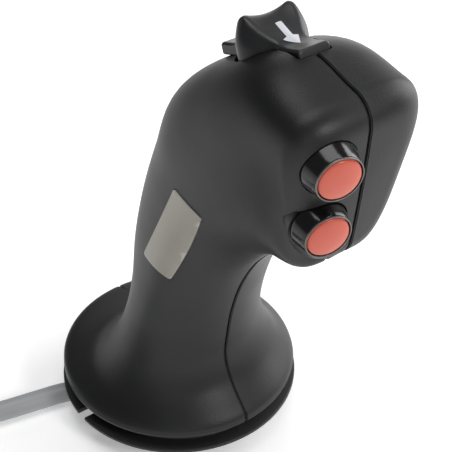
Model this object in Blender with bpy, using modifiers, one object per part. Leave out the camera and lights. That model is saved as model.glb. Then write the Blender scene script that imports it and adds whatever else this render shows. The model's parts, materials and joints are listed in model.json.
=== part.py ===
"""Hand grip of a machine joystick: two moulded housing halves screwed together round a threaded
lever insert, a tilting paddle on top, two push buttons on the front, trim plates and a cable.

Units are metres. +Z is up and the grip leans forward, towards -Y. The housing parts on the plane
X = 0: the right half is at -X and carries the buttons, the left half is at +X and takes the screws.
The origin is the centre of the base lip's underside.
"""

import math

import bmesh
import bpy
from mathutils import Matrix, Vector

# Fits
FIT = 0.0003            # gap between pieces that touch
RUNNING = 0.0001        # radial clearance of a pin in its bore
OVERLAP = 0.001         # how far a cutter passes the face that it opens

# Base: a lip and a skirt with a groove between them, for the bead of a bellows
BASE_RADIUS = 0.046
LIP_PROUD = 0.0008
LIP_THICKNESS = 0.0018
GROOVE_HEIGHT = 0.0057
GROOVE_DEPTH = 0.0052
SKIRT_WALL = 0.0015
EDGE_ROUND = 0.0004
NOTCH_WIDTH = 0.0048

# Housing
GRIP_HEIGHT = 0.180     # crown of the head above the lip's underside
HEAD_REACH = 0.100      # front of the head ahead of the lip's centre
NECK_HALF_WIDTH = 0.025
WALL = 0.0026
BASE_WALL = 0.003
NOSE_ROUND = 0.0093
NOSE_CROWN = 0.0004
SEAM_WIDTH = 0.0009
SEAM_DEPTH = 0.001
SIDES = 44
STEPS = 3

# The sections of the grip, on a drawing grid of 180 by 100 squares of 1 mm: front edge forward and
# up, rear edge forward and up, half width of the 25 mm neck, squareness of the oval, and how much
# wider it is at its rear or top edge.
GRIP_SECTIONS = (
    (32.3, 31.0, -18.6, 26.5, 31.0, 2.0, -0.09),
    (33.6, 43.5, -12.8, 42.5, 26.5, 2.0, -0.07),
    (36.5, 57.5, -7.8, 61.5, 25.0, 2.1, -0.07),
    (42.0, 73.0, -3.7, 83.5, 24.8, 2.2, -0.04),
    (50.3, 88.0, 3.0, 107.8, 24.9, 2.1, 0.0),
    (59.7, 99.0, 13.3, 131.5, 25.2, 2.1, 0.06),
    (68.5, 106.3, 26.3, 152.9, 25.6, 2.4, 0.12),
    (77.5, 111.0, 48.1, 169.5, 25.1, 2.5, 0.14),
    (85.6, 112.8, 70.6, 180.2, 23.5, 2.9, 0.18),
    (85.6, 118.6, 92.0, 176.7, 20.9, 3.7, 0.30),
)

# Lever insert: a hexagon with a collar, held between two webs
LEVER_BORE_RADIUS = 0.0051
INSERT_HEX_RADIUS = 0.0096
INSERT_COLLAR_RADIUS = 0.0118
INSERT_LOW = 0.014
INSERT_LENGTH = 0.028
COLLAR_THICKNESS = 0.005
WEB_THICKNESS = 0.003
WEB_FRONT = 0.0125

# Housing screws, at (forward, up) on the drawing grid
SCREW_POINTS = ((3.0, 60.0), (40.0, 94.0), (23.0, 133.0), (66.0, 114.5))
SCREW_RADIUS = 0.0015
SCREW_HEAD_RADIUS = 0.00275
SCREW_HEAD_THICKNESS = 0.0024
SCREW_SEAT = 0.0105     # the heads sit this far from the parting plane
SCREW_LENGTH = 0.016
HEX_SOCKET_RADIUS = 0.0014
HEX_SOCKET_DEPTH = 0.0013
BOSS_RADIUS = 0.0047
NUT_RADIUS = 0.0023
NUT_LENGTH = 0.006
NUT_FACE = 0.0015       # the brass inserts start this far from the parting plane

# Paddle, in its own frame: x across, y rearward, z up, at the middle of its tongues
PADDLE_FORWARD = 56.8
PADDLE_UP = 173.4
PADDLE_TILT = math.radians(21.0)
TONGUE_END = 0.020
TONGUE_HALF_WIDTH = 0.0052
TONGUE_THICKNESS = 0.0038
WAIST_HALF_WIDTH = 0.0108
CREST_HEIGHT = 0.0103
HORN_HEIGHT = 0.0124
HORN_HALF_WIDTH = 0.0092
PADDLE_THROW = math.radians(10.0)
PIVOT_DROP = 0.003
PIVOT_RADIUS = 0.00125
POCKET_HALF_LENGTH = 0.004
POCKET_HALF_WIDTH = 0.0053
POCKET_CEILING = 0.003
WELL_DEPTH = 0.0062
WELL_FLOOR = 0.0018
WELL_GAP = 0.0006
WELL_WALL = 0.0018
SADDLE_HALF_LENGTH = 0.0072
SADDLE_DEPTH = 0.0032

# Rocker mechanism under the well
POST_INNER = 0.0034
POST_THICKNESS = 0.0016
POST_HALF_LENGTH = 0.0022
CARRIER_HALF_WIDTH = 0.0068
CARRIER_HALF_LENGTH = 0.0108
CARRIER_DEPTH = 0.0115
CARRIER_WALL = 0.0014
HUB_RADIUS = 0.0028
LEVER_TIP = 0.0150
LEVER_HALF_THICKNESS = 0.0015
MICROSWITCH_SIZE = (0.0062, 0.0052, 0.0062)
MICROSWITCH_AHEAD = 0.0078
PLUNGER_RADIUS = 0.0009
PLUNGER_PROUD = 0.0013
LEAF_THICKNESS = 0.0004
LEAF_HALF_WIDTH = 0.0012

# Buttons: the middle of each cap's rim, as (across, forward, up) on the drawing grid
BUTTONS = {"upper": (-13.4, 104.5, 159.2), "lower": (-13.4, 101.3, 137.7)}
BUTTON_TOE = math.radians(11.0)
BUTTON_DIP = math.radians(5.0)
CAP_RADIUS = 0.0067
CAP_CROWN = 0.0009
CAP_SKIRT = 0.003
BUTTON_TRAVEL = 0.0015
BEZEL_RIM_RADIUS = 0.0074
BEZEL_FOOT_RADIUS = 0.0087
BEZEL_PROUD = 0.0068
RIM_THICKNESS = 0.0005
BARREL_RADIUS = 0.0045
BARREL_LENGTH = 0.0098
BARREL_BORE = 0.0037
STEM_RADIUS = 0.0022
PAD_RADIUS = 0.0093
PAD_TAPER = 0.0014
PAD_FLOOR = 0.0034
POCKET_SKIN = 0.0012    # what a pocket leaves of the side wall
HEX_NUT_RADIUS = 0.0057
HEX_NUT_THICKNESS = 0.0025
SWITCH_BODY = (0.0098, 0.0098, 0.0075)
SPRING_RADIUS = 0.0029
SPRING_WIRE = 0.0003
SPRING_TURNS = 4.5

# Trim plates, one on each flank: corners as (forward, up) on the drawing grid
TRIM_CORNERS = ((18.5, 83.0), (32.0, 79.3), (53.0, 119.0), (40.8, 124.2))
TRIM_CORNER_ROUND = 0.0018
TRIM_PROUD = 0.0003
TRIM_DEPTH = 0.0009
TRIM_GAP = 0.00025

# Cable, leaving a strain relief in the hollow base
CABLE_RADIUS = 0.004
RELIEF_FORWARD = 0.020
RELIEF_LOW = 0.042
RELIEF_TOP = 0.064
RELIEF_RADIUS = 0.0078
RELIEF_NECK_RADIUS = 0.0058
RELIEF_TIP_RADIUS = 0.0054
RELIEF_GROOVE_LOW = 0.0565
RELIEF_GROOVE_HEIGHT = 0.0036
FLOOR_UP = -0.0092      # underside of the cable where it lies
# Route of the cable from the relief to the coil, in millimetres
CABLE_ROUTE = (
    (0.0, -20.0, 41.5),
    (-0.4, -19.6, 32.0),
    (-3.0, -17.2, 21.0),
    (-8.6, -11.6, 10.6),
    (-16.6, -3.2, 2.0),
    (-25.0, 7.0, -3.2),
    (-33.5, 14.6, -5.0),
    (-43.5, 19.1, -5.2),
    (-55.0, 21.6, -5.2),
    (-68.0, 24.3, -5.2),
    (-82.0, 28.3, -5.2),
    (-96.3, 33.5, -5.2),
    (-106.5, 35.8, -5.2),
)
CABLE_POINT_STEP = 0.012
COIL_CENTRE = (-0.1451, -0.0050)
COIL_MEAN_RADIUS = 0.040
COIL_TURNS_ACROSS = 3
COIL_TURNS_HIGH = 2
TIE_WIDTH = 0.005
TIE_THICKNESS = 0.001
PLUG_RADIUS = 0.008
PLUG_LENGTH = 0.024
BOOT_LENGTH = 0.018
BOOT_CLEAR = 0.0302     # how far past the coil's side the boot starts
LOOM_RADIUS = 0.0026
LEAD_RADIUS = 0.0008


# Helpers


def at(forward, up, across=0.0):
    return Vector((across, -forward, up))


def on_grid(forward, up, across=0.0):
    """A place on the drawing grid, in metres."""
    return at(forward * HEAD_REACH / 100, up * GRIP_HEIGHT / 180, across * 0.001)


def collection(name, hidden=False):
    made = bpy.data.collections.new(name)
    bpy.context.scene.collection.children.link(made)
    made.hide_render = hidden
    return made


def material(name, colour, roughness, metallic=0.0):
    made = bpy.data.materials.new(name)
    made.use_nodes = True
    shader = made.node_tree.nodes["Principled BSDF"]
    shader.inputs["Base Color"].default_value = (*colour, 1.0)
    shader.inputs["Roughness"].default_value = roughness
    shader.inputs["Metallic"].default_value = metallic
    return made


def piece(name, mesh, finish):
    made = bpy.data.objects.new(name, mesh)
    PARTS.objects.link(made)
    made.data.materials.append(finish)
    return made


def cutter(name, mesh):
    made = bpy.data.objects.new(name, mesh)
    CUTTERS.objects.link(made)
    made.hide_render = True
    made.display_type = "WIRE"
    return made


def mesh_of(shape, name):
    bmesh.ops.recalc_face_normals(shape, faces=shape.faces)
    mesh = bpy.data.meshes.new(name)
    shape.to_mesh(mesh)
    shape.free()
    return mesh


def boolean(target, tool, operation="DIFFERENCE"):
    modifier = target.modifiers.new(f"{operation.title()} {tool.name}"[:60], "BOOLEAN")
    modifier.operation = operation
    modifier.solver = "EXACT"
    modifier.object = tool
    return modifier


def smooth(target, degrees=35.0):
    target.data.shade_smooth()
    target.data.set_sharp_from_angle(angle=math.radians(degrees))


def box_mesh(name, low, high, matrix=None):
    shape = bmesh.new()
    size = Vector(high) - Vector(low)
    middle = (Vector(high) + Vector(low)) / 2
    bmesh.ops.create_cube(shape, size=1.0, matrix=Matrix.Translation(middle) @ Matrix.Diagonal((*size, 1)))
    if matrix:
        bmesh.ops.transform(shape, matrix=matrix, verts=shape.verts)
    return mesh_of(shape, name)


def add_cylinder(shape, radius, low, high, matrix, sides=24, radius_high=None, turn=0.0):
    """A cylinder or cone from low to high on the local Z of the matrix."""
    bmesh.ops.create_cone(
        shape,
        cap_ends=True,
        segments=sides,
        radius1=radius,
        radius2=radius if radius_high is None else radius_high,
        depth=high - low,
        matrix=matrix @ Matrix.Translation((0, 0, (high + low) / 2)) @ Matrix.Rotation(turn, 4, "Z"),
    )


def turned(name, profile, finish, matrix, sides=32):
    """A turned piece: a closed profile of (radius, height) swept round the local Z."""
    after = profile[1:] + profile[:1]
    if sum(a[0] * b[1] - b[0] * a[1] for a, b in zip(profile, after)) > 0:
        profile = profile[::-1]
    mesh = bpy.data.meshes.new(name)
    edges = [(i, (i + 1) % len(profile)) for i in range(len(profile))]
    mesh.from_pydata([(radius, 0.0, height) for radius, height in profile], edges, [])
    made = piece(name, mesh, finish)
    made.matrix_world = matrix
    screw = made.modifiers.new("Turned", "SCREW")
    screw.steps = sides
    screw.render_steps = sides
    screw.use_merge_vertices = True
    screw.merge_threshold = 0.00001
    return made


def frame_on(origin, outward):
    """A matrix whose local Z points outward and whose local X is level."""
    z_axis = outward.normalized()
    x_axis = Vector((0, 0, 1)).cross(z_axis)
    x_axis = x_axis.normalized() if x_axis.length > 0.001 else Vector((1, 0, 0))
    y_axis = z_axis.cross(x_axis)
    turn = Matrix((x_axis, y_axis, z_axis)).transposed().to_4x4()
    return Matrix.Translation(origin) @ turn


def curve_points(route, step):
    """Points read about every step from a smooth curve through the route's own points."""
    ends = [route[0] * 2 - route[1], *route, route[-1] * 2 - route[-2]]
    fine = []
    for before, start, end, after in zip(ends, ends[1:], ends[2:], ends[3:]):
        for part in range(24):
            t = part / 24
            fine.append(
                (
                    start * 2
                    + (end - before) * t
                    + (before * 2 - start * 5 + end * 4 - after) * t**2
                    + (start * 3 - before - end * 3 + after) * t**3
                )
                / 2
            )
    fine.append(route[-1])
    length = sum((b - a).length for a, b in zip(fine, fine[1:]))
    count = max(2, round(length / step))
    spacing = length / count
    points, gone, wanted = [fine[0]], 0.0, spacing
    for a, b in zip(fine, fine[1:]):
        hop = (b - a).length
        while hop > 0 and gone + hop >= wanted and len(points) < count:
            points.append(a.lerp(b, (wanted - gone) / hop))
            wanted += spacing
        gone += hop
    points.append(fine[-1])
    return points


def tube(name, points, radius, finish, resolution=2):
    """A round wire or cable as a curve object with filled caps."""
    curve = bpy.data.curves.new(name, "CURVE")
    curve.dimensions = "3D"
    curve.bevel_depth = radius
    curve.bevel_resolution = resolution
    curve.use_fill_caps = True
    spline = curve.splines.new("POLY")
    spline.points.add(len(points) - 1)
    for point, place in zip(spline.points, points):
        point.co = (*place, 1.0)
    return piece(name, curve, finish)


# The loft of the grip


def skirt_up():
    return LIP_THICKNESS + GROOVE_HEIGHT


def grip_rows():
    """Every section of the grip from the skirt's edge up, in metres."""
    rows = [
        (BASE_RADIUS, skirt_up(), -BASE_RADIUS, skirt_up(), BASE_RADIUS, 2.0, 0.0),
        (BASE_RADIUS, skirt_up() + SKIRT_WALL, -BASE_RADIUS, skirt_up() + SKIRT_WALL, BASE_RADIUS, 2.0, 0.0),
        (
            BASE_RADIUS - 0.0014, skirt_up() + 0.0045,
            0.0014 - BASE_RADIUS, skirt_up() + 0.0045,
            BASE_RADIUS - 0.0014, 2.0, 0.0,
        ),
        (BASE_RADIUS - 0.010, skirt_up() + 0.0137, 0.018 - BASE_RADIUS, skirt_up() + 0.0075,
         BASE_RADIUS - 0.0085, 2.0, -0.05),
    ]
    for front, front_up, rear, rear_up, half_width, squareness, widening in GRIP_SECTIONS:
        rows.append(
            (
                front * HEAD_REACH / 100, front_up * GRIP_HEIGHT / 180,
                rear * HEAD_REACH / 100, rear_up * GRIP_HEIGHT / 180,
                half_width * NECK_HALF_WIDTH / 25, squareness, widening,
            )
        )
    return rows


def blended(rows, steps):
    """The rows with smooth ones put between them."""
    ends = [[2 * a - b for a, b in zip(rows[0], rows[1])], *rows, [2 * a - b for a, b in zip(rows[-1], rows[-2])]]
    dense = []
    for before, start, end, after in zip(ends, ends[1:], ends[2:], ends[3:]):
        for part in range(steps):
            t = part / steps
            dense.append(
                [
                    (2 * p1 + (p2 - p0) * t + (2 * p0 - 5 * p1 + 4 * p2 - p3) * t**2
                     + (3 * p1 - p0 - 3 * p2 + p3) * t**3) / 2
                    for p0, p1, p2, p3 in zip(before, start, end, after)
                ]
            )
    dense.append(rows[-1])
    return dense


def oval(row, sides, inset=0.0, ahead=0.0, shrink=1.0):
    """One section of the grip as a ring of points, inset from its outline and moved ahead of its plane."""
    front, front_up, rear, rear_up, half_width, squareness, widening = row
    low = Vector((front, front_up))
    high = Vector((rear, rear_up))
    along = (high - low).normalized()
    out = Vector((along.y, -along.x))
    half_height = (high - low).length / 2
    middle = (low + high) / 2 + out * ahead
    ring = []
    for index in range(sides):
        angle = 2 * math.pi * index / sides
        across = math.copysign(abs(math.cos(angle)) ** (2 / squareness), math.cos(angle))
        up = math.copysign(abs(math.sin(angle)) ** (2 / squareness), math.sin(angle))
        spot = middle + along * (half_height - inset) * shrink * up
        width = (half_width - inset) * shrink * (1 + widening * up)
        ring.append(at(spot.x, spot.y, width * across))
    return ring


def circle(radius, up, sides):
    return [
        Vector((radius * math.cos(a), -radius * -math.sin(a), up))
        for a in (2 * math.pi * index / sides for index in range(sides))
    ]


def grip_rings(inset, sides, steps, rows):
    """Rings of the grip's body and rounded nose, at a given inset from the outer surface."""
    dense = blended(rows, steps)
    rings = [oval(row, sides, inset) for row in dense]
    nose = NOSE_ROUND - inset
    for part in range(1, steps + 2):
        angle = math.pi / 2 * part / (steps + 1)
        rings.append(oval(dense[-1], sides, inset + nose * (1 - math.cos(angle)), nose * math.sin(angle)))
    for shrink in (0.66, 0.33):
        crown = NOSE_CROWN * (1 - shrink**2)
        rings.append(oval(dense[-1], sides, NOSE_ROUND, nose + crown, shrink))
    return rings


def lofted(name, rings):
    """A closed mesh through rings of equal count, ending in a flat face and in a point."""
    shape = bmesh.new()
    rows = [[shape.verts.new(point) for point in ring] for ring in rings]
    count = len(rings[0])
    for lower, upper in zip(rows, rows[1:]):
        for index in range(count):
            after = (index + 1) % count
            shape.faces.new((lower[index], lower[after], upper[after], upper[index]))
    shape.faces.new(rows[0][::-1])
    tip = shape.verts.new(sum((vert.co for vert in rows[-1]), Vector()) / count)
    for index in range(count):
        shape.faces.new((rows[-1][index], rows[-1][(index + 1) % count], tip))
    return mesh_of(shape, name)


def outer_mesh(name):
    """The whole outside of the grip, with the lip and the groove under its skirt."""
    lip = BASE_RADIUS + LIP_PROUD
    groove = BASE_RADIUS - GROOVE_DEPTH
    rings = [
        circle(lip - EDGE_ROUND, 0.0, SIDES),
        circle(lip, EDGE_ROUND, SIDES),
        circle(lip, LIP_THICKNESS - EDGE_ROUND, SIDES),
        circle(lip - EDGE_ROUND, LIP_THICKNESS, SIDES),
        circle(groove, LIP_THICKNESS, SIDES),
        circle(groove, skirt_up(), SIDES),
        circle(BASE_RADIUS - EDGE_ROUND, skirt_up(), SIDES),
    ]
    rows = grip_rows()
    rows[0] = (
        BASE_RADIUS, skirt_up() + EDGE_ROUND, -BASE_RADIUS, skirt_up() + EDGE_ROUND, BASE_RADIUS, 2.0, 0.0
    )
    return lofted(name, rings + grip_rings(0.0, SIDES, STEPS, rows))


def inner_mesh(name, inset, base_radius, low, sides=24, steps=2):
    """The body of the grip at an inset, straight down to a round base."""
    rings = [circle(base_radius, low, sides), circle(base_radius, skirt_up(), sides)]
    return lofted(name, rings + grip_rings(inset, sides, steps, grip_rows()[3:]))


# Shared places


def paddle_frame():
    return Matrix.Translation(on_grid(PADDLE_FORWARD, PADDLE_UP)) @ Matrix.Rotation(-PADDLE_TILT, 4, "X")


def button_frame(which):
    across, forward, up = BUTTONS[which]
    outward = Vector(
        (
            -math.sin(BUTTON_TOE) * math.cos(BUTTON_DIP),
            -math.cos(BUTTON_TOE) * math.cos(BUTTON_DIP),
            -math.sin(BUTTON_DIP),
        )
    )
    return frame_on(on_grid(forward, up, across), outward)


def screw_frame(point, across=0.0):
    """Local Z runs along +X, out of the left half."""
    return frame_on(on_grid(*point, 0.0) + Vector((across, 0, 0)), Vector((1, 0, 0)))


def screw_lines():
    return [screw_frame(point) for point in SCREW_POINTS]


# Cutters and webs shared by the two halves


def core_object(name, inset):
    """The grip's body a little inside its skin: what is cut back to it stays hidden."""
    return cutter(name, inner_mesh(name, inset, BASE_RADIUS - GROOVE_DEPTH - inset, EDGE_ROUND))


def webs_object():
    """Bosses for the screws, webs round the lever insert and the web that holds the strain relief."""
    shape = bmesh.new()
    reach = BASE_RADIUS
    for line in screw_lines():
        add_cylinder(shape, BOSS_RADIUS, -reach, reach, line, 20)
    collar_low = INSERT_LOW + (INSERT_LENGTH - COLLAR_THICKNESS) / 2
    for low in (collar_low - FIT - WEB_THICKNESS, collar_low + COLLAR_THICKNESS + FIT):
        middle = Vector((0, (reach - WEB_FRONT) / 2, low + WEB_THICKNESS / 2))
        size = Matrix.Diagonal((2 * reach, reach + WEB_FRONT, WEB_THICKNESS, 1))
        bmesh.ops.create_cube(shape, size=1.0, matrix=Matrix.Translation(middle) @ size)
    low = RELIEF_GROOVE_LOW + FIT
    high = RELIEF_GROOVE_LOW + RELIEF_GROOVE_HEIGHT - FIT
    rear = RELIEF_FORWARD - RELIEF_RADIUS - 0.002
    middle = Vector((0, -(rear + reach) / 2, (low + high) / 2))
    size = Matrix.Diagonal((2 * reach, reach - rear, high - low, 1))
    bmesh.ops.create_cube(shape, size=1.0, matrix=Matrix.Translation(middle) @ size)
    return cutter("webs", mesh_of(shape, "webs"))


def insert_passage_object():
    """Room for the hexagon through its webs and for the neck of the strain relief."""
    shape = bmesh.new()
    add_cylinder(
        shape, INSERT_HEX_RADIUS + FIT, INSERT_LOW - OVERLAP, INSERT_LOW + INSERT_LENGTH + OVERLAP,
        Matrix.Identity(4), 6, turn=math.radians(30),
    )
    add_cylinder(
        shape, RELIEF_NECK_RADIUS + FIT, RELIEF_GROOVE_LOW - OVERLAP,
        RELIEF_GROOVE_LOW + RELIEF_GROOVE_HEIGHT + OVERLAP, Matrix.Translation(at(RELIEF_FORWARD, 0)), 20,
    )
    return cutter("insert_passage", mesh_of(shape, "insert_passage"))


def well_half_length():
    return TONGUE_END + WELL_GAP


def well_half_width():
    return TONGUE_HALF_WIDTH + WELL_GAP


def rounded_box_mesh(name, half_width, half_length, low, high, corner, matrix):
    """A box with round upright corners, from an outline in the local XY plane."""
    shape = bmesh.new()
    outline = []
    for quarter in range(4):
        side_x = 1 if quarter in (0, 3) else -1
        side_y = 1 if quarter in (0, 1) else -1
        for part in range(4):
            angle = math.pi / 2 * (quarter + part / 3)
            x = side_x * (half_width - corner) + corner * math.cos(angle)
            y = side_y * (half_length - corner) + corner * math.sin(angle)
            outline.append(shape.verts.new((x, y, low)))
    face = shape.faces.new(outline)
    raised = bmesh.ops.extrude_face_region(shape, geom=[face])
    moved = [item for item in raised["geom"] if isinstance(item, bmesh.types.BMVert)]
    bmesh.ops.translate(shape, vec=(0, 0, high - low), verts=moved)
    bmesh.ops.transform(shape, matrix=matrix, verts=shape.verts)
    return mesh_of(shape, name)


def well_objects():
    """The block that lines the paddle's well, the well itself and the hole in its floor."""
    frame = paddle_frame()
    top = 3 * HORN_HEIGHT
    block = cutter(
        "well_block",
        rounded_box_mesh(
            "well_block", well_half_width() + WELL_WALL, well_half_length() + WELL_WALL,
            -WELL_DEPTH - WELL_FLOOR, top, 0.003, frame,
        ),
    )
    well = cutter(
        "well",
        rounded_box_mesh("well", well_half_width(), well_half_length(), -WELL_DEPTH, top, 0.0014, frame),
    )
    opening = cutter(
        "well_opening",
        box_mesh(
            "well_opening",
            (-POST_INNER - POST_THICKNESS - FIT, -POCKET_HALF_LENGTH - FIT, -WELL_DEPTH - WELL_FLOOR - OVERLAP),
            (POST_INNER + POST_THICKNESS + FIT, POCKET_HALF_LENGTH + FIT, -WELL_DEPTH + OVERLAP),
            frame,
        ),
    )
    saddle = cutter(
        "well_saddle",
        rounded_box_mesh(
            "well_saddle", WAIST_HALF_WIDTH + WELL_GAP, SADDLE_HALF_LENGTH, -SADDLE_DEPTH, top, 0.003, frame
        ),
    )
    return block, well, opening, saddle


def pad_objects():
    """Raised pads under the bezels, pockets behind them, and the seats and barrel holes in them."""
    pads, pockets, holes = bmesh.new(), bmesh.new(), bmesh.new()
    seats = bmesh.new()
    for which in BUTTONS:
        frame = button_frame(which)
        top = -BEZEL_PROUD - FIT
        add_cylinder(pads, PAD_RADIUS - PAD_TAPER, top - 2 * PAD_FLOOR, top, frame, 32, PAD_RADIUS)
        add_cylinder(pockets, HEX_NUT_RADIUS + 0.0004, -0.040, top - PAD_FLOOR, frame, 24)
        add_cylinder(holes, BARREL_RADIUS + FIT, -0.030, top + OVERLAP, frame, 28)
        add_cylinder(seats, BEZEL_FOOT_RADIUS + FIT, top, 0.0, frame, 36)
    pocket = cutter("button_pockets", mesh_of(pockets, "button_pockets"))
    boolean(pocket, core_object("pocket_limit", POCKET_SKIN), "INTERSECT")
    return (
        cutter("button_pads", mesh_of(pads, "button_pads")),
        pocket,
        cutter("button_holes", mesh_of(holes, "button_holes")),
        cutter("button_seats", mesh_of(seats, "button_seats")),
    )


def trim_outline(gap):
    """The trim plate's corners on the flank, rounded, as (forward, up) pairs in metres."""
    corners = [Vector((f * HEAD_REACH / 100, u * GRIP_HEIGHT / 180)) for f, u in TRIM_CORNERS]
    centre = sum(corners, Vector((0, 0))) / len(corners)
    outline = []
    for index, corner in enumerate(corners):
        before = (corners[index - 1] - corner).normalized()
        after = (corners[(index + 1) % len(corners)] - corner).normalized()
        half = before.angle(after) / 2
        inward = (before + after).normalized()
        middle = corner + inward * TRIM_CORNER_ROUND / math.sin(half)
        start = math.atan2(-inward.y, -inward.x)
        sweep = math.pi / 2 - half
        radius = TRIM_CORNER_ROUND + gap
        for part in range(5):
            angle = start + sweep * (part / 2 - 1)
            outline.append(middle + Vector((math.cos(angle), math.sin(angle))) * radius)
    area = sum(a.x * b.y - b.x * a.y for a, b in zip(outline, outline[1:] + outline[:1]))
    return outline if area > 0 else outline[::-1]


def trim_prism(name, gap, side, inner):
    """A prism across one flank with the trim plate's outline."""
    shape = bmesh.new()
    face = shape.faces.new([shape.verts.new(at(spot.x, spot.y, side * inner)) for spot in trim_outline(gap)])
    raised = bmesh.ops.extrude_face_region(shape, geom=[face])
    moved = [item for item in raised["geom"] if isinstance(item, bmesh.types.BMVert)]
    bmesh.ops.translate(shape, vec=(side * 2 * NECK_HALF_WIDTH, 0, 0), verts=moved)
    return cutter(name, mesh_of(shape, name))


# Pieces


def housing_halves():
    outer = outer_mesh("housing")
    cavity = cutter(
        "cavity", inner_mesh("cavity", WALL, BASE_RADIUS - GROOVE_DEPTH - BASE_WALL, -OVERLAP)
    )
    core = core_object("core", WALL / 3)
    webs = webs_object()
    passage = insert_passage_object()
    block, well, opening, saddle = well_objects()
    pads, pockets, holes, seats = pad_objects()
    reach = 2 * GRIP_HEIGHT
    seam = cutter(
        "seam", box_mesh("seam", (-SEAM_WIDTH / 2, -reach, -OVERLAP), (SEAM_WIDTH / 2, reach, reach))
    )
    boolean(seam, core_object("seam_bed", SEAM_DEPTH))
    trim_bed = core_object("trim_bed", TRIM_DEPTH + FIT)
    halves = {}
    for name, side in (("housing_right", -1), ("housing_left", 1)):
        half = piece(name, outer.copy(), PLASTIC)
        away = cutter(
            f"{name}_other_side",
            box_mesh(
                f"{name}_other_side",
                (-FIT / 2 if side < 0 else -reach, -reach, -reach),
                (reach if side < 0 else FIT / 2, reach, reach),
            ),
        )
        boolean(half, away)
        boolean(half, cavity)
        for fill in (webs, block):
            own = cutter(f"{name}_{fill.name}", fill.data.copy())
            boolean(own, core, "INTERSECT")
            boolean(own, away)
            boolean(half, own, "UNION")
        boolean(half, passage)
        boolean(half, well)
        boolean(half, opening)
        boolean(half, saddle)
        if side < 0:
            boolean(half, pads, "UNION")
            boolean(half, pockets)
            boolean(half, seats)
            boolean(half, holes)
        boolean(half, seam)
        drill = bmesh.new()
        for line in screw_lines():
            if side < 0:
                add_cylinder(drill, NUT_RADIUS + FIT / 2, -SCREW_SEAT, OVERLAP, line, 20)
            else:
                add_cylinder(drill, SCREW_RADIUS + FIT / 2, -OVERLAP, SCREW_SEAT + OVERLAP, line, 16)
        boolean(half, cutter(f"{name}_drill", mesh_of(drill, f"{name}_drill")))
        if side > 0:
            sink = bmesh.new()
            for line in screw_lines():
                add_cylinder(sink, SCREW_HEAD_RADIUS + FIT, SCREW_SEAT, reach, line, 20)
            boolean(half, cutter("screw_sinks", mesh_of(sink, "screw_sinks")))
        prism = trim_prism(f"{name}_trim_cut", TRIM_GAP, side, NECK_HALF_WIDTH * 0.4)
        boolean(prism, trim_bed)
        boolean(half, prism)
        notch = cutter(
            f"{name}_notch",
            box_mesh(
                f"{name}_notch",
                (-reach if side < 0 else BASE_RADIUS - GROOVE_DEPTH + FIT, -NOTCH_WIDTH / 2, -OVERLAP),
                (FIT - BASE_RADIUS + GROOVE_DEPTH if side < 0 else reach, NOTCH_WIDTH / 2,
                 LIP_THICKNESS + OVERLAP),
            ),
        )
        boolean(half, notch)
        smooth(half)
        halves[side] = half
    bpy.data.meshes.remove(outer)
    return halves


def trim_plates():
    proud = inner_mesh("trim_skin", -TRIM_PROUD, BASE_RADIUS, 0.0, SIDES, STEPS)
    bed = core_object("trim_back", TRIM_DEPTH)
    for name, side in (("trim_plate_right", -1), ("trim_plate_left", 1)):
        plate = piece(name, proud.copy(), SATIN_METAL)
        boolean(plate, trim_prism(f"{name}_outline", 0.0, side, NECK_HALF_WIDTH * 0.45), "INTERSECT")
        boolean(plate, bed)
        smooth(plate)
    bpy.data.meshes.remove(proud)


def lever_insert():
    """The threaded steel insert that screws on the machine's lever."""
    shape = bmesh.new()
    add_cylinder(
        shape, INSERT_HEX_RADIUS, INSERT_LOW, INSERT_LOW + INSERT_LENGTH, Matrix.Identity(4), 6,
        turn=math.radians(30),
    )
    made = piece("lever_insert", mesh_of(shape, "lever_insert"), STEEL)
    collar_low = INSERT_LOW + (INSERT_LENGTH - COLLAR_THICKNESS) / 2
    collar, bore = bmesh.new(), bmesh.new()
    add_cylinder(
        collar, INSERT_COLLAR_RADIUS, collar_low, collar_low + COLLAR_THICKNESS, Matrix.Identity(4), 36
    )
    add_cylinder(
        bore, LEVER_BORE_RADIUS, INSERT_LOW - OVERLAP, INSERT_LOW + INSERT_LENGTH + OVERLAP,
        Matrix.Identity(4), 32,
    )
    boolean(made, cutter("insert_collar", mesh_of(collar, "insert_collar")), "UNION")
    boolean(made, cutter("insert_bore", mesh_of(bore, "insert_bore")))


def housing_screws():
    """A socket screw from the left and a brass insert in the right half, at each boss."""
    for number, line in enumerate(screw_lines(), 1):
        head_low = SCREW_SEAT + FIT / 2
        shape = bmesh.new()
        add_cylinder(shape, SCREW_RADIUS, head_low - SCREW_LENGTH, head_low + OVERLAP, line, 16)
        screw = piece(f"housing_screw_{number}", mesh_of(shape, "housing_screw"), STEEL)
        head, socket = bmesh.new(), bmesh.new()
        head_top = head_low + SCREW_HEAD_THICKNESS
        add_cylinder(head, SCREW_HEAD_RADIUS, head_low, head_top, line, 24)
        add_cylinder(socket, HEX_SOCKET_RADIUS, head_top - HEX_SOCKET_DEPTH, head_top + OVERLAP, line, 6)
        boolean(screw, cutter(f"screw_head_{number}", mesh_of(head, "screw_head")), "UNION")
        boolean(screw, cutter(f"screw_socket_{number}", mesh_of(socket, "screw_socket")))
        inner = SCREW_RADIUS + RUNNING
        turned(
            f"brass_insert_{number}",
            [(inner, -NUT_FACE), (inner, -NUT_FACE - NUT_LENGTH), (NUT_RADIUS, -NUT_FACE - NUT_LENGTH),
             (NUT_RADIUS, -NUT_FACE)],
            BRASS, line, 20,
        )


def paddle_half_width(reach):
    """Half width of the paddle at a distance along it, from its wide waist to its tongues."""
    blend = min(1.0, reach / 0.0105)
    return TONGUE_HALF_WIDTH + (WAIST_HALF_WIDTH - TONGUE_HALF_WIDTH) * (1 - blend) ** 2.2


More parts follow.
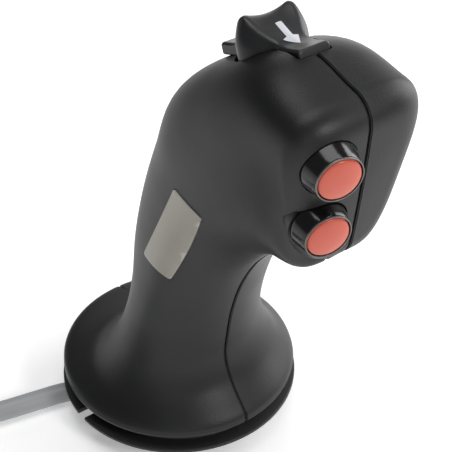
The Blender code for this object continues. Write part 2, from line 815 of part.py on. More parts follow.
def paddle_height(reach, edge):
    """Height of the paddle's top: a crest with horns that sweeps down to the flat tongues."""
    crest = CREST_HEIGHT + (HORN_HEIGHT - CREST_HEIGHT) * edge**2
    blend = min(1.0, reach / 0.0165)
    fall = 0.5 + 0.5 * math.cos(math.pi * blend**0.85)
    tongue = TONGUE_THICKNESS / 2
    return tongue + (crest - tongue) * fall ** (1.15 + 0.5 * edge)


def paddle():
    """The paddle, lofted along its length, with a pocket under its waist for the rocker lever."""
    stations = [-1.0, -0.97, -0.88, -0.76, -0.64, -0.53, -0.42, -0.32, -0.22, -0.12, -0.05]
    stations = stations + [0.0] + [-value for value in reversed(stations)]
    low = -TONGUE_THICKNESS / 2
    across_steps = 10
    shape = bmesh.new()
    rows = []
    for station in stations:
        y = station * TONGUE_END
        reach = abs(y)
        narrowing = 0.9 if abs(station) == 1.0 else 1.0
        half_width = paddle_half_width(reach) * narrowing
        lift = 0.0003 if abs(station) == 1.0 else 0.0
        ring = []
        for step in range(across_steps + 1):
            share = -1 + 2 * step / across_steps
            edge = abs(share)
            top = paddle_height(reach, edge) - lift
            inward = 1.0
            if edge == 1.0:
                top -= 0.0006
            if reach < 0.009:
                inward = 1.0 - (1.0 - HORN_HALF_WIDTH / WAIST_HALF_WIDTH) * (1 - reach / 0.009)
            ring.append(shape.verts.new((share * half_width * inward, y, top)))
        ring.append(shape.verts.new((half_width, y, low + 0.0004 + lift)))
        ring.append(shape.verts.new((half_width - 0.0004, y, low + lift)))
        ring.append(shape.verts.new((0.0004 - half_width, y, low + lift)))
        ring.append(shape.verts.new((-half_width, y, low + 0.0004 + lift)))
        rows.append(ring)
    for first, second in zip(rows, rows[1:]):
        for index in range(len(first)):
            after = (index + 1) % len(first)
            shape.faces.new((first[index], first[after], second[after], second[index]))
    shape.faces.new(rows[0][::-1])
    shape.faces.new(rows[-1])
    made = piece("paddle", mesh_of(shape, "paddle"), PADDLE_PLASTIC)
    frame = paddle_frame()
    # The object's origin is the pivot, so the mesh is moved up from it.
    made.data.transform(Matrix.Translation((0, 0, PIVOT_DROP)))
    made.matrix_world = frame @ Matrix.Translation((0, 0, -PIVOT_DROP))
    pocket = cutter(
        "paddle_pocket",
        box_mesh(
            "paddle_pocket",
            (-POCKET_HALF_WIDTH, -POCKET_HALF_LENGTH, low - OVERLAP),
            (POCKET_HALF_WIDTH, POCKET_HALF_LENGTH, POCKET_CEILING),
            frame,
        ),
    )
    boolean(made, pocket)
    smooth(made, 40.0)


def rocker_lever():
    """The lever that carries the paddle, turns on the pivot pin and works the microswitches."""
    frame = paddle_frame()
    half_width = POST_INNER - FIT
    shape = bmesh.new()
    across = frame @ Matrix.Translation((0, 0, -PIVOT_DROP)) @ Matrix.Rotation(math.pi / 2, 4, "Y")
    add_cylinder(shape, HUB_RADIUS, -half_width, half_width, across, 28)
    made = piece("rocker_lever", mesh_of(shape, "rocker_lever"), NYLON)
    head = box_mesh(
        "lever_head",
        (-half_width, FIT - POCKET_HALF_LENGTH, -0.0004),
        (half_width, POCKET_HALF_LENGTH - FIT, POCKET_CEILING - FIT),
        frame,
    )
    tail = box_mesh(
        "lever_tail",
        (-0.0018, -LEVER_HALF_THICKNESS, -LEVER_TIP),
        (0.0018, LEVER_HALF_THICKNESS, -PIVOT_DROP),
        frame,
    )
    bore = bmesh.new()
    add_cylinder(bore, PIVOT_RADIUS + RUNNING, -2 * half_width, 2 * half_width, across, 28)
    boolean(made, cutter("lever_head", head), "UNION")
    boolean(made, cutter("lever_tail", tail), "UNION")
    boolean(made, cutter("lever_bore", mesh_of(bore, "lever_bore")))


def rocker_carrier():
    """The fixed bracket under the well: two posts for the pin and a channel for the microswitches."""
    frame = paddle_frame()
    top = -WELL_DEPTH - WELL_FLOOR - FIT
    made = piece(
        "rocker_carrier",
        box_mesh(
            "rocker_carrier",
            (-CARRIER_HALF_WIDTH, -CARRIER_HALF_LENGTH, top - CARRIER_DEPTH),
            (CARRIER_HALF_WIDTH, CARRIER_HALF_LENGTH, top),
            frame,
        ),
        NYLON,
    )
    channel = box_mesh(
        "carrier_channel",
        (CARRIER_WALL - CARRIER_HALF_WIDTH, -2 * CARRIER_HALF_LENGTH, top - CARRIER_DEPTH + CARRIER_WALL),
        (CARRIER_HALF_WIDTH - CARRIER_WALL, 2 * CARRIER_HALF_LENGTH, top - CARRIER_WALL),
        frame,
    )
    boolean(made, cutter("carrier_channel", channel))
    outer = POST_INNER + POST_THICKNESS
    posts = bmesh.new()
    for side in (-1, 1):
        middle = Vector((side * (POST_INNER + outer) / 2, 0, (top - CARRIER_WALL / 2 - 0.0005) / 2))
        size = Matrix.Diagonal((POST_THICKNESS, 2 * POST_HALF_LENGTH, -(top - CARRIER_WALL / 2 + 0.0005), 1))
        bmesh.ops.create_cube(posts, size=1.0, matrix=frame @ Matrix.Translation(middle) @ size)
    boolean(made, cutter("carrier_posts", mesh_of(posts, "carrier_posts")), "UNION")
    slot = box_mesh(
        "carrier_slot",
        (FIT - POST_INNER, -POCKET_HALF_LENGTH, top - CARRIER_WALL - OVERLAP),
        (POST_INNER - FIT, POCKET_HALF_LENGTH, top + OVERLAP),
        frame,
    )
    boolean(made, cutter("carrier_slot", slot))
    across = frame @ Matrix.Translation((0, 0, -PIVOT_DROP)) @ Matrix.Rotation(math.pi / 2, 4, "Y")
    eyes = bmesh.new()
    add_cylinder(eyes, PIVOT_RADIUS + RUNNING, -2 * outer, 2 * outer, across, 28)
    boolean(made, cutter("carrier_eyes", mesh_of(eyes, "carrier_eyes")))
    pin = bmesh.new()
    add_cylinder(pin, PIVOT_RADIUS, -outer, outer, across, 28)
    piece("rocker_pivot_pin", mesh_of(pin, "rocker_pivot_pin"), STEEL)


def rocker_switches():
    """Two microswitches in the carrier's channel, plungers towards the lever, and the return spring."""
    frame = paddle_frame()
    top = -WELL_DEPTH - WELL_FLOOR - FIT - CARRIER_WALL - FIT
    width, length, height = MICROSWITCH_SIZE
    for name, side in (("microswitch_front", -1), ("microswitch_rear", 1)):
        middle_y = side * MICROSWITCH_AHEAD
        body = box_mesh(
            name,
            (-width / 2, middle_y - length / 2, top - height - 0.0012),
            (width / 2, middle_y + length / 2, top - 0.0012),
            frame,
        )
        made = piece(name, body, SWITCH_PLASTIC)
        plunger = bmesh.new()
        near = MICROSWITCH_AHEAD - length / 2
        line = frame @ Matrix.Translation((0, 0, top - height * 0.7)) @ Matrix.Rotation(-side * math.pi / 2, 4, "X")
        add_cylinder(plunger, PLUNGER_RADIUS, near - PLUNGER_PROUD, near + 0.001, line, 12)
        boolean(made, cutter(f"{name}_plunger", mesh_of(plunger, "plunger")), "UNION")
    leaf = bmesh.new()
    bottom = -WELL_DEPTH - WELL_FLOOR - CARRIER_DEPTH + CARRIER_WALL
    gap = LEVER_HALF_THICKNESS + FIT
    profile = [
        (-gap - LEAF_THICKNESS, -0.0125), (-gap - LEAF_THICKNESS, bottom), (gap + LEAF_THICKNESS, bottom),
        (gap + LEAF_THICKNESS, -0.0125), (gap, -0.0125), (gap, bottom + LEAF_THICKNESS),
        (-gap, bottom + LEAF_THICKNESS), (-gap, -0.0125),
    ]
    face = leaf.faces.new([leaf.verts.new((-LEAF_HALF_WIDTH, y, z)) for y, z in profile])
    raised = bmesh.ops.extrude_face_region(leaf, geom=[face])
    moved = [item for item in raised["geom"] if isinstance(item, bmesh.types.BMVert)]
    bmesh.ops.translate(leaf, vec=(2 * LEAF_HALF_WIDTH, 0, 0), verts=moved)
    bmesh.ops.transform(leaf, matrix=frame, verts=leaf.verts)
    piece("rocker_return_spring", mesh_of(leaf, "rocker_return_spring"), SPRING_STEEL)


def button(which):
    """A push button: cap with stem, spring, bezel with barrel, rim, nut and switch body."""
    frame = button_frame(which)
    bore = CAP_RADIUS + FIT
    bore_floor = -CAP_SKIRT - BUTTON_TRAVEL - FIT
    barrel_end = -BEZEL_PROUD - BARREL_LENGTH
    seat = barrel_end + 0.0045
    spring_foot = seat + FIT
    turned(
        f"{which}_button_cap",
        [
            (0.0, CAP_CROWN), (CAP_RADIUS * 0.35, CAP_CROWN * 0.9), (CAP_RADIUS * 0.68, CAP_CROWN * 0.58),
            (CAP_RADIUS * 0.92, CAP_CROWN * 0.12), (CAP_RADIUS, -0.0004), (CAP_RADIUS, -CAP_SKIRT),
            (STEM_RADIUS, -CAP_SKIRT), (STEM_RADIUS, -CAP_SKIRT - 0.0105), (0.0, -CAP_SKIRT - 0.0105),
        ],
        RED_PLASTIC, frame, 36,
    )
    rim_low = -RIM_THICKNESS
    turned(
        f"{which}_button_rim",
        [(bore, 0.0), (bore, rim_low), (BEZEL_RIM_RADIUS, rim_low), (BEZEL_RIM_RADIUS - 0.0001, 0.0)],
        SATIN_METAL, frame, 36,
    )
    top = rim_low - FIT / 2
    turned(
        f"{which}_button_bezel",
        [
            (bore, top), (bore, bore_floor), (BARREL_BORE, bore_floor), (BARREL_BORE, seat),
            (STEM_RADIUS + FIT, seat), (STEM_RADIUS + FIT, barrel_end), (BARREL_RADIUS, barrel_end),
            (BARREL_RADIUS, -BEZEL_PROUD), (BEZEL_FOOT_RADIUS - 0.0002, -BEZEL_PROUD),
            (BEZEL_FOOT_RADIUS, -BEZEL_PROUD + 0.0003), (BEZEL_FOOT_RADIUS - 0.0003, -BEZEL_PROUD + 0.0014),
            (BEZEL_RIM_RADIUS + 0.0003, top - 0.0009), (BEZEL_RIM_RADIUS, top),
        ],
        GLOSS_PLASTIC, frame, 36,
    )
    nut = bmesh.new()
    nut_top = -BEZEL_PROUD - FIT - PAD_FLOOR - FIT
    add_cylinder(nut, HEX_NUT_RADIUS, nut_top - HEX_NUT_THICKNESS, nut_top, frame, 6)
    made = piece(f"{which}_button_nut", mesh_of(nut, "button_nut"), STEEL)
    hole = bmesh.new()
    add_cylinder(hole, BARREL_RADIUS + RUNNING, -0.04, 0.0, frame, 36)
    boolean(made, cutter(f"{which}_nut_hole", mesh_of(hole, "nut_hole")))
    width, height, depth = SWITCH_BODY
    body_top = barrel_end - FIT
    piece(
        f"{which}_button_switch",
        box_mesh(
            "button_switch",
            (-width / 2, -height / 2, body_top - depth),
            (width / 2, height / 2, body_top),
            frame,
        ),
        SWITCH_PLASTIC,
    )
    spring_top = -CAP_SKIRT - FIT - SPRING_WIRE
    turns = []
    steps = round(SPRING_TURNS * 10)
    for step in range(steps + 1):
        angle = 2 * math.pi * SPRING_TURNS * step / steps
        level = spring_top + (spring_foot + SPRING_WIRE - spring_top) * step / steps
        turns.append(frame @ Vector((SPRING_RADIUS * math.cos(angle), SPRING_RADIUS * math.sin(angle), level)))
    tube(f"{which}_button_spring", turns, SPRING_WIRE, SPRING_STEEL, 1)


def strain_relief():
    """A rubber sleeve, grooved for its web and tapering to the cable."""
    groove_high = RELIEF_GROOVE_LOW + RELIEF_GROOVE_HEIGHT
    turned(
        "cable_strain_relief",
        [
            (0.0, RELIEF_TOP), (RELIEF_RADIUS - 0.001, RELIEF_TOP), (RELIEF_RADIUS, RELIEF_TOP - 0.001),
            (RELIEF_RADIUS, groove_high), (RELIEF_NECK_RADIUS, groove_high),
            (RELIEF_NECK_RADIUS, RELIEF_GROOVE_LOW), (RELIEF_RADIUS, RELIEF_GROOVE_LOW),
            (RELIEF_RADIUS, RELIEF_GROOVE_LOW - 0.0025), (RELIEF_TIP_RADIUS, RELIEF_LOW), (0.0, RELIEF_LOW),
        ],
        RUBBER, Matrix.Translation(at(RELIEF_FORWARD, 0)), 28,
    )


def wiring():
    """The loom inside the neck and the leads to the switches."""
    loom = [
        at(RELIEF_FORWARD, RELIEF_TOP + FIT), at(RELIEF_FORWARD + 0.0012, RELIEF_TOP + 0.010),
        on_grid(25.5, 88.0), on_grid(33.0, 106.0), on_grid(41.5, 124.0), on_grid(47.0, 135.0),
    ]
    tube("wiring_loom", curve_points(loom, 0.009), LOOM_RADIUS, RUBBER)
    end = loom[-1] + (loom[-1] - loom[-2]).normalized() * (LEAD_RADIUS + FIT)
    back = -BEZEL_PROUD - BARREL_LENGTH - FIT - SWITCH_BODY[2] - FIT
    routes = {
        "lower_button": [
            end + at(0.0012, -0.0004), end + at(0.008, -0.001, -0.001),
            button_frame("lower") @ Vector((0, 0, back - 0.005)), button_frame("lower") @ Vector((0, 0, back)),
        ],
        "upper_button": [
            end + at(0.0, 0.001, -0.0016), end + at(0.009, 0.005, -0.006), end + at(0.018, 0.012, -0.0095),
            end + at(0.0225, 0.020, -0.0095), button_frame("upper") @ Vector((0, 0, back - 0.003)),
            button_frame("upper") @ Vector((0, 0, back)),
        ],
    }
    frame = paddle_frame()
    foot = -WELL_DEPTH - WELL_FLOOR - FIT - CARRIER_DEPTH - FIT
    routes["rocker"] = [
        end + at(0.0, 0.001, 0.0016), end + at(0.002, 0.006, 0.0016),
        frame @ Vector((0, 0.006, foot - 0.004)), frame @ Vector((0, 0.006, foot)),
    ]
    for name, route in routes.items():
        tube(f"{name}_lead", curve_points(route, 0.004), LEAD_RADIUS, RUBBER)


def coil_low():
    return FLOOR_UP + TIE_THICKNESS + FIT


def cable():
    """The free cable down out of the base and along the floor, its coil and its tie."""
    route = [Vector(point) * 0.001 for point in CABLE_ROUTE]
    tube("cable", curve_points(route, CABLE_POINT_STEP), CABLE_RADIUS, GREY_PVC, 3)
    half_width = COIL_TURNS_ACROSS * CABLE_RADIUS
    height = 2 * CABLE_RADIUS * COIL_TURNS_HIGH
    low = coil_low()
    inner, outer = COIL_MEAN_RADIUS - half_width, COIL_MEAN_RADIUS + half_width
    soft = 0.003
    turned(
        "cable_coil",
        [
            (inner, low + soft), (inner + soft, low), (outer - soft, low), (outer, low + soft),
            (outer, low + height - soft), (outer - soft, low + height), (inner + soft, low + height),
            (inner, low + height - soft),
        ],
        GREY_PVC, Matrix.Translation((*COIL_CENTRE, 0.0)), 48,
    )
    gap = 2 * FIT
    place = Matrix.Translation((COIL_CENTRE[0], COIL_CENTRE[1] + COIL_MEAN_RADIUS, low + height / 2))
    reach = Vector((TIE_WIDTH / 2, half_width + gap, height / 2 + FIT))
    around = Vector((0, TIE_THICKNESS, TIE_THICKNESS))
    tie = piece("cable_tie", box_mesh("cable_tie", -reach - around, reach + around, place), SWITCH_PLASTIC)
    reach.x += OVERLAP
    boolean(tie, cutter("tie_inside", box_mesh("tie_inside", -reach, reach, place)))


def plug():
    """A round multi-pin plug on the floor beside the coil, with its boot towards the cable."""
    side = COIL_CENTRE[0] - COIL_MEAN_RADIUS - (COIL_TURNS_ACROSS - 1) * CABLE_RADIUS
    start = Vector((side, COIL_CENTRE[1] - BOOT_CLEAR, FLOOR_UP + PLUG_RADIUS))
    line = frame_on(start, Vector((0, -1, 0)))
    neck = PLUG_RADIUS - 0.0012
    turned(
        "plug_boot",
        [
            (0.0, 0.0), (CABLE_RADIUS + 0.0008, 0.0), (CABLE_RADIUS + 0.0012, 0.0006),
            (neck - 0.0004, BOOT_LENGTH - 0.002), (neck - 0.0004, BOOT_LENGTH), (0.0, BOOT_LENGTH),
        ],
        RUBBER, line, 24,
    )
    base = BOOT_LENGTH + FIT
    end = base + PLUG_LENGTH
    turned(
        "plug_body",
        [
            (0.0, base), (neck, base), (neck, base + 0.004), (PLUG_RADIUS, base + 0.005),
            (PLUG_RADIUS, end - 0.008), (neck, end - 0.007), (neck, end), (neck - 0.0012, end),
            (neck - 0.0012, end - 0.009), (0.0, end - 0.009),
        ],
        SWITCH_PLASTIC, line, 28,
    )


def clear_scene():
    for item in list(bpy.data.objects):
        bpy.data.objects.remove(item)


clear_scene()
PARTS = collection("joystick_grip")
CUTTERS = collection("cutters", hidden=True)
PLASTIC = material("moulded_charcoal", (0.030, 0.031, 0.033), 0.52)
PADDLE_PLASTIC = material("moulded_black", (0.022, 0.023, 0.025), 0.42)
GLOSS_PLASTIC = material("gloss_black", (0.012, 0.012, 0.013), 0.22)
RED_PLASTIC = material("red_cap", (0.56, 0.11, 0.075), 0.38)
SATIN_METAL = material("satin_metal", (0.42, 0.40, 0.35), 0.38, 1.0)
STEEL = material("zinc_steel", (0.50, 0.50, 0.49), 0.35, 1.0)
SPRING_STEEL = material("spring_steel", (0.35, 0.35, 0.36), 0.30, 1.0)
BRASS = material("brass", (0.62, 0.45, 0.18), 0.35, 1.0)
NYLON = material("nylon", (0.10, 0.10, 0.10), 0.5)
SWITCH_PLASTIC = material("switch_plastic", (0.04, 0.05, 0.07), 0.5)
RUBBER = material("black_rubber", (0.015, 0.015, 0.015), 0.7)
GREY_PVC = material("grey_pvc", (0.32, 0.33, 0.34), 0.45)

housing_halves()
trim_plates()
lever_insert()
housing_screws()
paddle()
rocker_lever()
rocker_carrier()
rocker_switches()
for which in BUTTONS:
    button(which)
strain_relief()
wiring()
cable()
plug()
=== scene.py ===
"""Finished look of the machine joystick grip: smooth housing halves, trim, paddle, buttons, screws,
cable and stage.

Units are metres, except in the tables of sections and of places on the grip, which are in millimetres
and say so. +Z is up, the head leans towards -Y, and the housing parts on the plane X = 0.
"""

import json
import math

import bmesh
import bpy
from mathutils import Matrix, Vector


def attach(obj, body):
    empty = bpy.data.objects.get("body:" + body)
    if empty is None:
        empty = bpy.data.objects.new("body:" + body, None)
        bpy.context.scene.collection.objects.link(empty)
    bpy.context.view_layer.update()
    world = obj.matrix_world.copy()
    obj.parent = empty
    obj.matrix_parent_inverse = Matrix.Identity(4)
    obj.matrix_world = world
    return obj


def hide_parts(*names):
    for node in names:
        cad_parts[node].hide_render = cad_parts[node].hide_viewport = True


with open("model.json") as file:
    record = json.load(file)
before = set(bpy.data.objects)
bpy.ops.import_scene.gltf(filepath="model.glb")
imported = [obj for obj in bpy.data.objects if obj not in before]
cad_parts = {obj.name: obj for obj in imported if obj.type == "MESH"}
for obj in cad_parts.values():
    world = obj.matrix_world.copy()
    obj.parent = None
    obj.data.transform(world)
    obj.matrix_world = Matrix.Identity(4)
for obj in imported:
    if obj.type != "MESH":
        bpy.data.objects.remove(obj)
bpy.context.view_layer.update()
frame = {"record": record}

bl_info = {
    "name": "Joystick Grip",
    "version": (1, 0, 0),
    "blender": (4, 5, 0),
    "location": "View3D > Sidebar > Grip",
    "description": "Builds the finished surfaces of a machine joystick grip round its packed frame",
    "category": "Object",
}

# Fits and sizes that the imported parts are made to
FIT = 0.0003
OVERLAP = 0.001
BASE_RADIUS = 0.046
LIP_PROUD = 0.0008
LIP_THICKNESS = 0.0018
GROOVE_HEIGHT = 0.0057
GROOVE_DEPTH = 0.0052
SKIRT_WALL = 0.0015
NOTCH_WIDTH = 0.0048
NOTCH_MIDDLE = -0.0014
WALL = 0.0026
BASE_WALL = 0.003
NOSE_ROUND = 0.0093
NOSE_CROWN = 0.0004
SEAM_WIDTH = 0.0010
SEAM_DEPTH = 0.001
SEAM_CLOSED = 0.00003
SEAM_EDGE = 0.0004
SEAM_EDGE_DEPTH = 0.0002
RIM_SOFT = 0.00045          # rounding of the lip's and the skirt's edges
GROOVE_SOFT = 0.0004
CORE_LOW = 0.0004
BEYOND = 0.4                # further than any part of the grip
GRIP_SECTIONS = (
    # front forward and up, rear forward and up, half width (mm), squareness, widening upwards
    (32.3, 31.0, -18.6, 26.5, 31.0, 2.0, -0.09),
    (33.6, 43.5, -12.8, 42.5, 26.5, 2.0, -0.07),
    (36.5, 57.5, -7.8, 61.5, 25.0, 2.1, -0.07),
    (42.0, 73.0, -3.7, 83.5, 24.8, 2.2, -0.04),
    (50.3, 88.0, 3.0, 107.8, 24.9, 2.1, 0.0),
    (59.7, 99.0, 13.3, 131.5, 25.2, 2.1, 0.06),
    (68.5, 106.3, 26.3, 152.9, 25.6, 2.4, 0.12),
    (77.5, 111.0, 48.1, 169.5, 25.1, 2.5, 0.14),
    (85.6, 112.8, 70.6, 180.2, 23.5, 2.9, 0.18),
    (85.6, 118.6, 92.0, 176.7, 20.9, 3.7, 0.30),
)
INSERT_LOW = 0.014
INSERT_LENGTH = 0.028
INSERT_HEX_RADIUS = 0.0096
COLLAR_THICKNESS = 0.005
WEB_THICKNESS = 0.003
WEB_FRONT = 0.0125
RELIEF_FORWARD = 0.020
RELIEF_NECK_RADIUS = 0.0058
RELIEF_RADIUS = 0.0078
RELIEF_GROOVE_LOW = 0.0565
RELIEF_GROOVE_HEIGHT = 0.0036
# SCREW_POINTS, PADDLE_FORWARD, PADDLE_UP, BUTTONS (across, forward, up) and TRIM_CORNERS are millimetres
SCREW_POINTS = ((3.0, 60.0), (40.0, 94.0), (23.0, 133.0), (66.0, 114.5))
SCREW_HEAD_RADIUS = 0.00275
SCREW_HEAD_THICKNESS = 0.0024
SCREW_SEAT = 0.0105
SCREW_RADIUS = 0.0015
SCREW_LENGTH = 0.016
SOCKET_RADIUS = 0.0014
SOCKET_DEPTH = 0.0013
SINK_TOP = 0.05
BOSS_RADIUS = 0.0047
NUT_RADIUS = 0.0023
PADDLE_FORWARD = 56.8
PADDLE_UP = 173.4
PADDLE_TILT = math.radians(21.0)
TONGUE_END = 0.020
TONGUE_HALF_WIDTH = 0.0055
TONGUE_THICKNESS = 0.0038
WAIST_HALF_WIDTH = 0.0118
LOBE_REACH = 0.0097
CREST_HEIGHT = 0.0103
HORN_HEIGHT = 0.0122
HORN_HALF_WIDTH = 0.0086
CREST_REACH = 0.0165
PADDLE_SOFT = 0.0006
PADDLE_FOOT = 0.0005
POCKET_HALF_LENGTH = 0.004
POCKET_HALF_WIDTH = 0.0053
POCKET_CEILING = 0.003
WELL_DEPTH = 0.0062
WELL_FLOOR = 0.0018
WELL_GAP = 0.0006
WELL_WALL = 0.0018
WELL_CORNER = 0.0014
WELL_BLOCK_CORNER = 0.003
WELL_TOP = 0.03
SADDLE_HALF_LENGTH = 0.0102
SADDLE_DEPTH = 0.0054
SADDLE_SWEEP = 0.0012       # how far the lobes travel along the well as the paddle tilts
POST_REACH = 0.0050
BUTTONS = {"upper": (-13.4, 104.5, 159.2), "lower": (-13.4, 101.3, 137.7)}
BUTTON_TOE = math.radians(11.0)
BUTTON_DIP = math.radians(5.0)
CAP_RADIUS = 0.0067
CAP_CROWN = 0.0009
CAP_SKIRT = 0.003
BUTTON_TRAVEL = 0.0015
BEZEL_RIM_RADIUS = 0.0074
BEZEL_FOOT_RADIUS = 0.0087
BEZEL_PROUD = 0.0068
RIM_THICKNESS = 0.0005
BARREL_RADIUS = 0.0045
BARREL_LENGTH = 0.0098
BARREL_BORE = 0.0037
BARREL_SEAT = 0.0045
STEM_RADIUS = 0.0022
STEM_LENGTH = 0.0105
PAD_RADIUS = 0.0093
PAD_TAPER = 0.0014
PAD_FLOOR = 0.0034
PAD_POCKET_RADIUS = 0.0061
PAD_POCKET_LOW = -0.040
PAD_HOLE_LOW = -0.030
TRIM_CORNERS = ((18.5, 83.0), (32.0, 79.3), (53.0, 119.0), (40.8, 124.2))
TRIM_CORNER_ROUND = 0.0012
TRIM_PROUD = 0.0003
TRIM_DEPTH = 0.0009
TRIM_GAP = 0.00025
TRIM_CUT_FROM = 0.010
TRIM_FACE_FROM = 0.012
TRIM_REACH = 0.05
TRIM_EDGE = 0.0002

# Cable: its route in metres, then its coil
CABLE_RADIUS = 0.004
FLOOR_UP = -0.0092
CABLE_ROUTE = (
    (0.0, -0.0200, 0.0415),
    (-0.0004, -0.0196, 0.0320),
    (-0.0030, -0.0172, 0.0210),
    (-0.0086, -0.0116, 0.0106),
    (-0.0166, -0.0032, 0.0020),
    (-0.0250, 0.0070, -0.0032),
    (-0.0335, 0.0146, -0.0050),
    (-0.0435, 0.0191, -0.0052),
    (-0.0550, 0.0216, -0.0052),
    (-0.0680, 0.0243, -0.0052),
    (-0.0820, 0.0283, -0.0052),
    (-0.0963, 0.0335, -0.0052),
    (-0.1065, 0.0358, -0.0052),
)
COIL_CENTRE = (-0.1451, -0.0050)
COIL_MEAN_RADIUS = 0.040
TIE_THICKNESS = 0.001
COIL_PITCH = 2 * CABLE_RADIUS
COIL_START = math.radians(78.5)
COIL_CLIMB = 0.282
COIL_POINTS_A_TURN = 48
PLUG_RADIUS = 0.008
BOOT_CLEAR = 0.0302
BOOT_GRIP = 0.004

# Stage
CAMERA_PLACE = (-0.1921, -0.3031, 0.3482)
CAMERA_TURN = math.radians(-35.4)
CAMERA_DOWN = math.radians(37.6)
CAMERA_LENS = 97.0
SENSOR_WIDTH = 36.0
WORLD_STRENGTH = 0.12
FLOOR_GAP = 0.0003
LIGHTS_AIM = (0.0, -0.04, 0.09)
LIGHTS = (
    # name, place, width in metres, power in watts
    ("key", (0.95, -0.15, 0.45), 0.8, 8.6),
    ("front", (0.16, -0.85, 0.58), 0.20, 3.0),
    ("top", (-0.05, 0.05, 1.35), 0.9, 8.0),
    ("fill", (-0.60, -0.95, 0.40), 0.5, 0.9),
    ("back", (0.75, 0.75, 0.35), 0.7, 3.0),
)


# Helpers


def at(forward, up, across=0.0):
    """A point in metres from its distances forward, up and across in metres."""
    return Vector((across, -forward, up))


def on_grid(forward, up, across=0.0):
    """A point in metres from its distances forward, up and across in millimetres."""
    return Vector((across * 0.001, -forward * 0.001, up * 0.001))


def frame_on(origin, outward):
    """A matrix whose local Z points outward and whose local X is level."""
    z_axis = outward.normalized()
    x_axis = Vector((0, 0, 1)).cross(z_axis)
    x_axis = x_axis.normalized() if x_axis.length > 0.001 else Vector((1, 0, 0))
    y_axis = z_axis.cross(x_axis)
    return Matrix.Translation(origin) @ Matrix((x_axis, y_axis, z_axis)).transposed().to_4x4()


def mesh_of(shape, name, outward=True):
    if outward:
        bmesh.ops.recalc_face_normals(shape, faces=shape.faces)
    mesh = bpy.data.meshes.new(name)
    shape.to_mesh(mesh)
    shape.free()
    return mesh


def add_object(name, mesh, finish=None):
    made = bpy.data.objects.new(name, mesh)
    bpy.context.scene.collection.objects.link(made)
    if finish:
        made.data.materials.clear()
        made.data.materials.append(finish)
    return made


def helper(name, mesh):
    """An object that only shapes others. drop_helpers() removes it."""
    made = add_object(name, mesh)
    made.hide_render = True
    HELPERS.append(made)
    return made


HELPERS = []


def helper_of(shape, name):
    return helper(name, mesh_of(shape, name))


def raise_face(shape, corners, offset):
    """A prism: the flat face on the corners, pulled out along the offset."""
    face = shape.faces.new([shape.verts.new(corner) for corner in corners])
    raised = bmesh.ops.extrude_face_region(shape, geom=[face])
    moved = [item for item in raised["geom"] if isinstance(item, bmesh.types.BMVert)]
    bmesh.ops.translate(shape, vec=offset, verts=moved)


def bridge(shape, rows):
    """Faces between each closed row of points and the next."""
    for lower, upper in zip(rows, rows[1:]):
        count = len(lower)
        for index in range(count):
            after = (index + 1) % count
            shape.faces.new((lower[index], lower[after], upper[after], upper[index]))


def bridge_closed(shape, rows):
    bridge(shape, rows)
    shape.faces.new(rows[0][::-1])
    shape.faces.new(rows[-1])


def cut(target, tool, operation="DIFFERENCE"):
    modifier = target.modifiers.new(tool.name[:60], "BOOLEAN")
    modifier.operation = operation
    modifier.solver = "EXACT"
    modifier.object = tool
    return modifier


def baked(target, sharp=32.0):
    """The object's modifiers made into its mesh, shaded smooth but for sharp edges."""
    bpy.context.view_layer.update()
    graph = bpy.context.evaluated_depsgraph_get()
    mesh = bpy.data.meshes.new_from_object(target.evaluated_get(graph))
    target.modifiers.clear()
    target.data = mesh
    target.data.shade_smooth()
    target.data.set_sharp_from_angle(angle=math.radians(sharp))
    return target


def drop_helpers():
    while HELPERS:
        bpy.data.objects.remove(HELPERS.pop())


def box_mesh(name, low, high, matrix=None):
    shape = bmesh.new()
    size = Vector(high) - Vector(low)
    middle = (Vector(high) + Vector(low)) / 2
    bmesh.ops.create_cube(shape, size=1.0, matrix=Matrix.Translation(middle) @ Matrix.Diagonal((*size, 1)))
    if matrix:
        bmesh.ops.transform(shape, matrix=matrix, verts=shape.verts)
    return mesh_of(shape, name)


def add_cylinder(shape, radius, low, high, matrix, sides=48, radius_high=None, turn=0.0):
    bmesh.ops.create_cone(
        shape,
        cap_ends=True,
        segments=sides,
        radius1=radius,
        radius2=radius if radius_high is None else radius_high,
        depth=high - low,
        matrix=matrix @ Matrix.Translation((0, 0, (high + low) / 2)) @ Matrix.Rotation(turn, 4, "Z"),
    )


def rounded_profile(corners, radii, steps=4):
    """A closed profile of (radius, height) with each corner rounded by its own radius."""
    points = []
    count = len(corners)
    for index, (corner, radius) in enumerate(zip(corners, radii)):
        here = Vector(corner)
        before = Vector(corners[index - 1]) - here
        after = Vector(corners[(index + 1) % count]) - here
        if radius <= 0.0 or before.length < 1e-7 or after.length < 1e-7:
            points.append(here)
            continue
        half = before.angle(after) / 2
        reach = min(radius / math.tan(half), 0.49 * before.length, 0.49 * after.length)
        start = here + before.normalized() * reach
        end = here + after.normalized() * reach
        for step in range(steps + 1):
            t = step / steps
            points.append(start * (1 - t) ** 2 + here * 2 * t * (1 - t) + end * t**2)
    return [(point.x, point.y) for point in points]


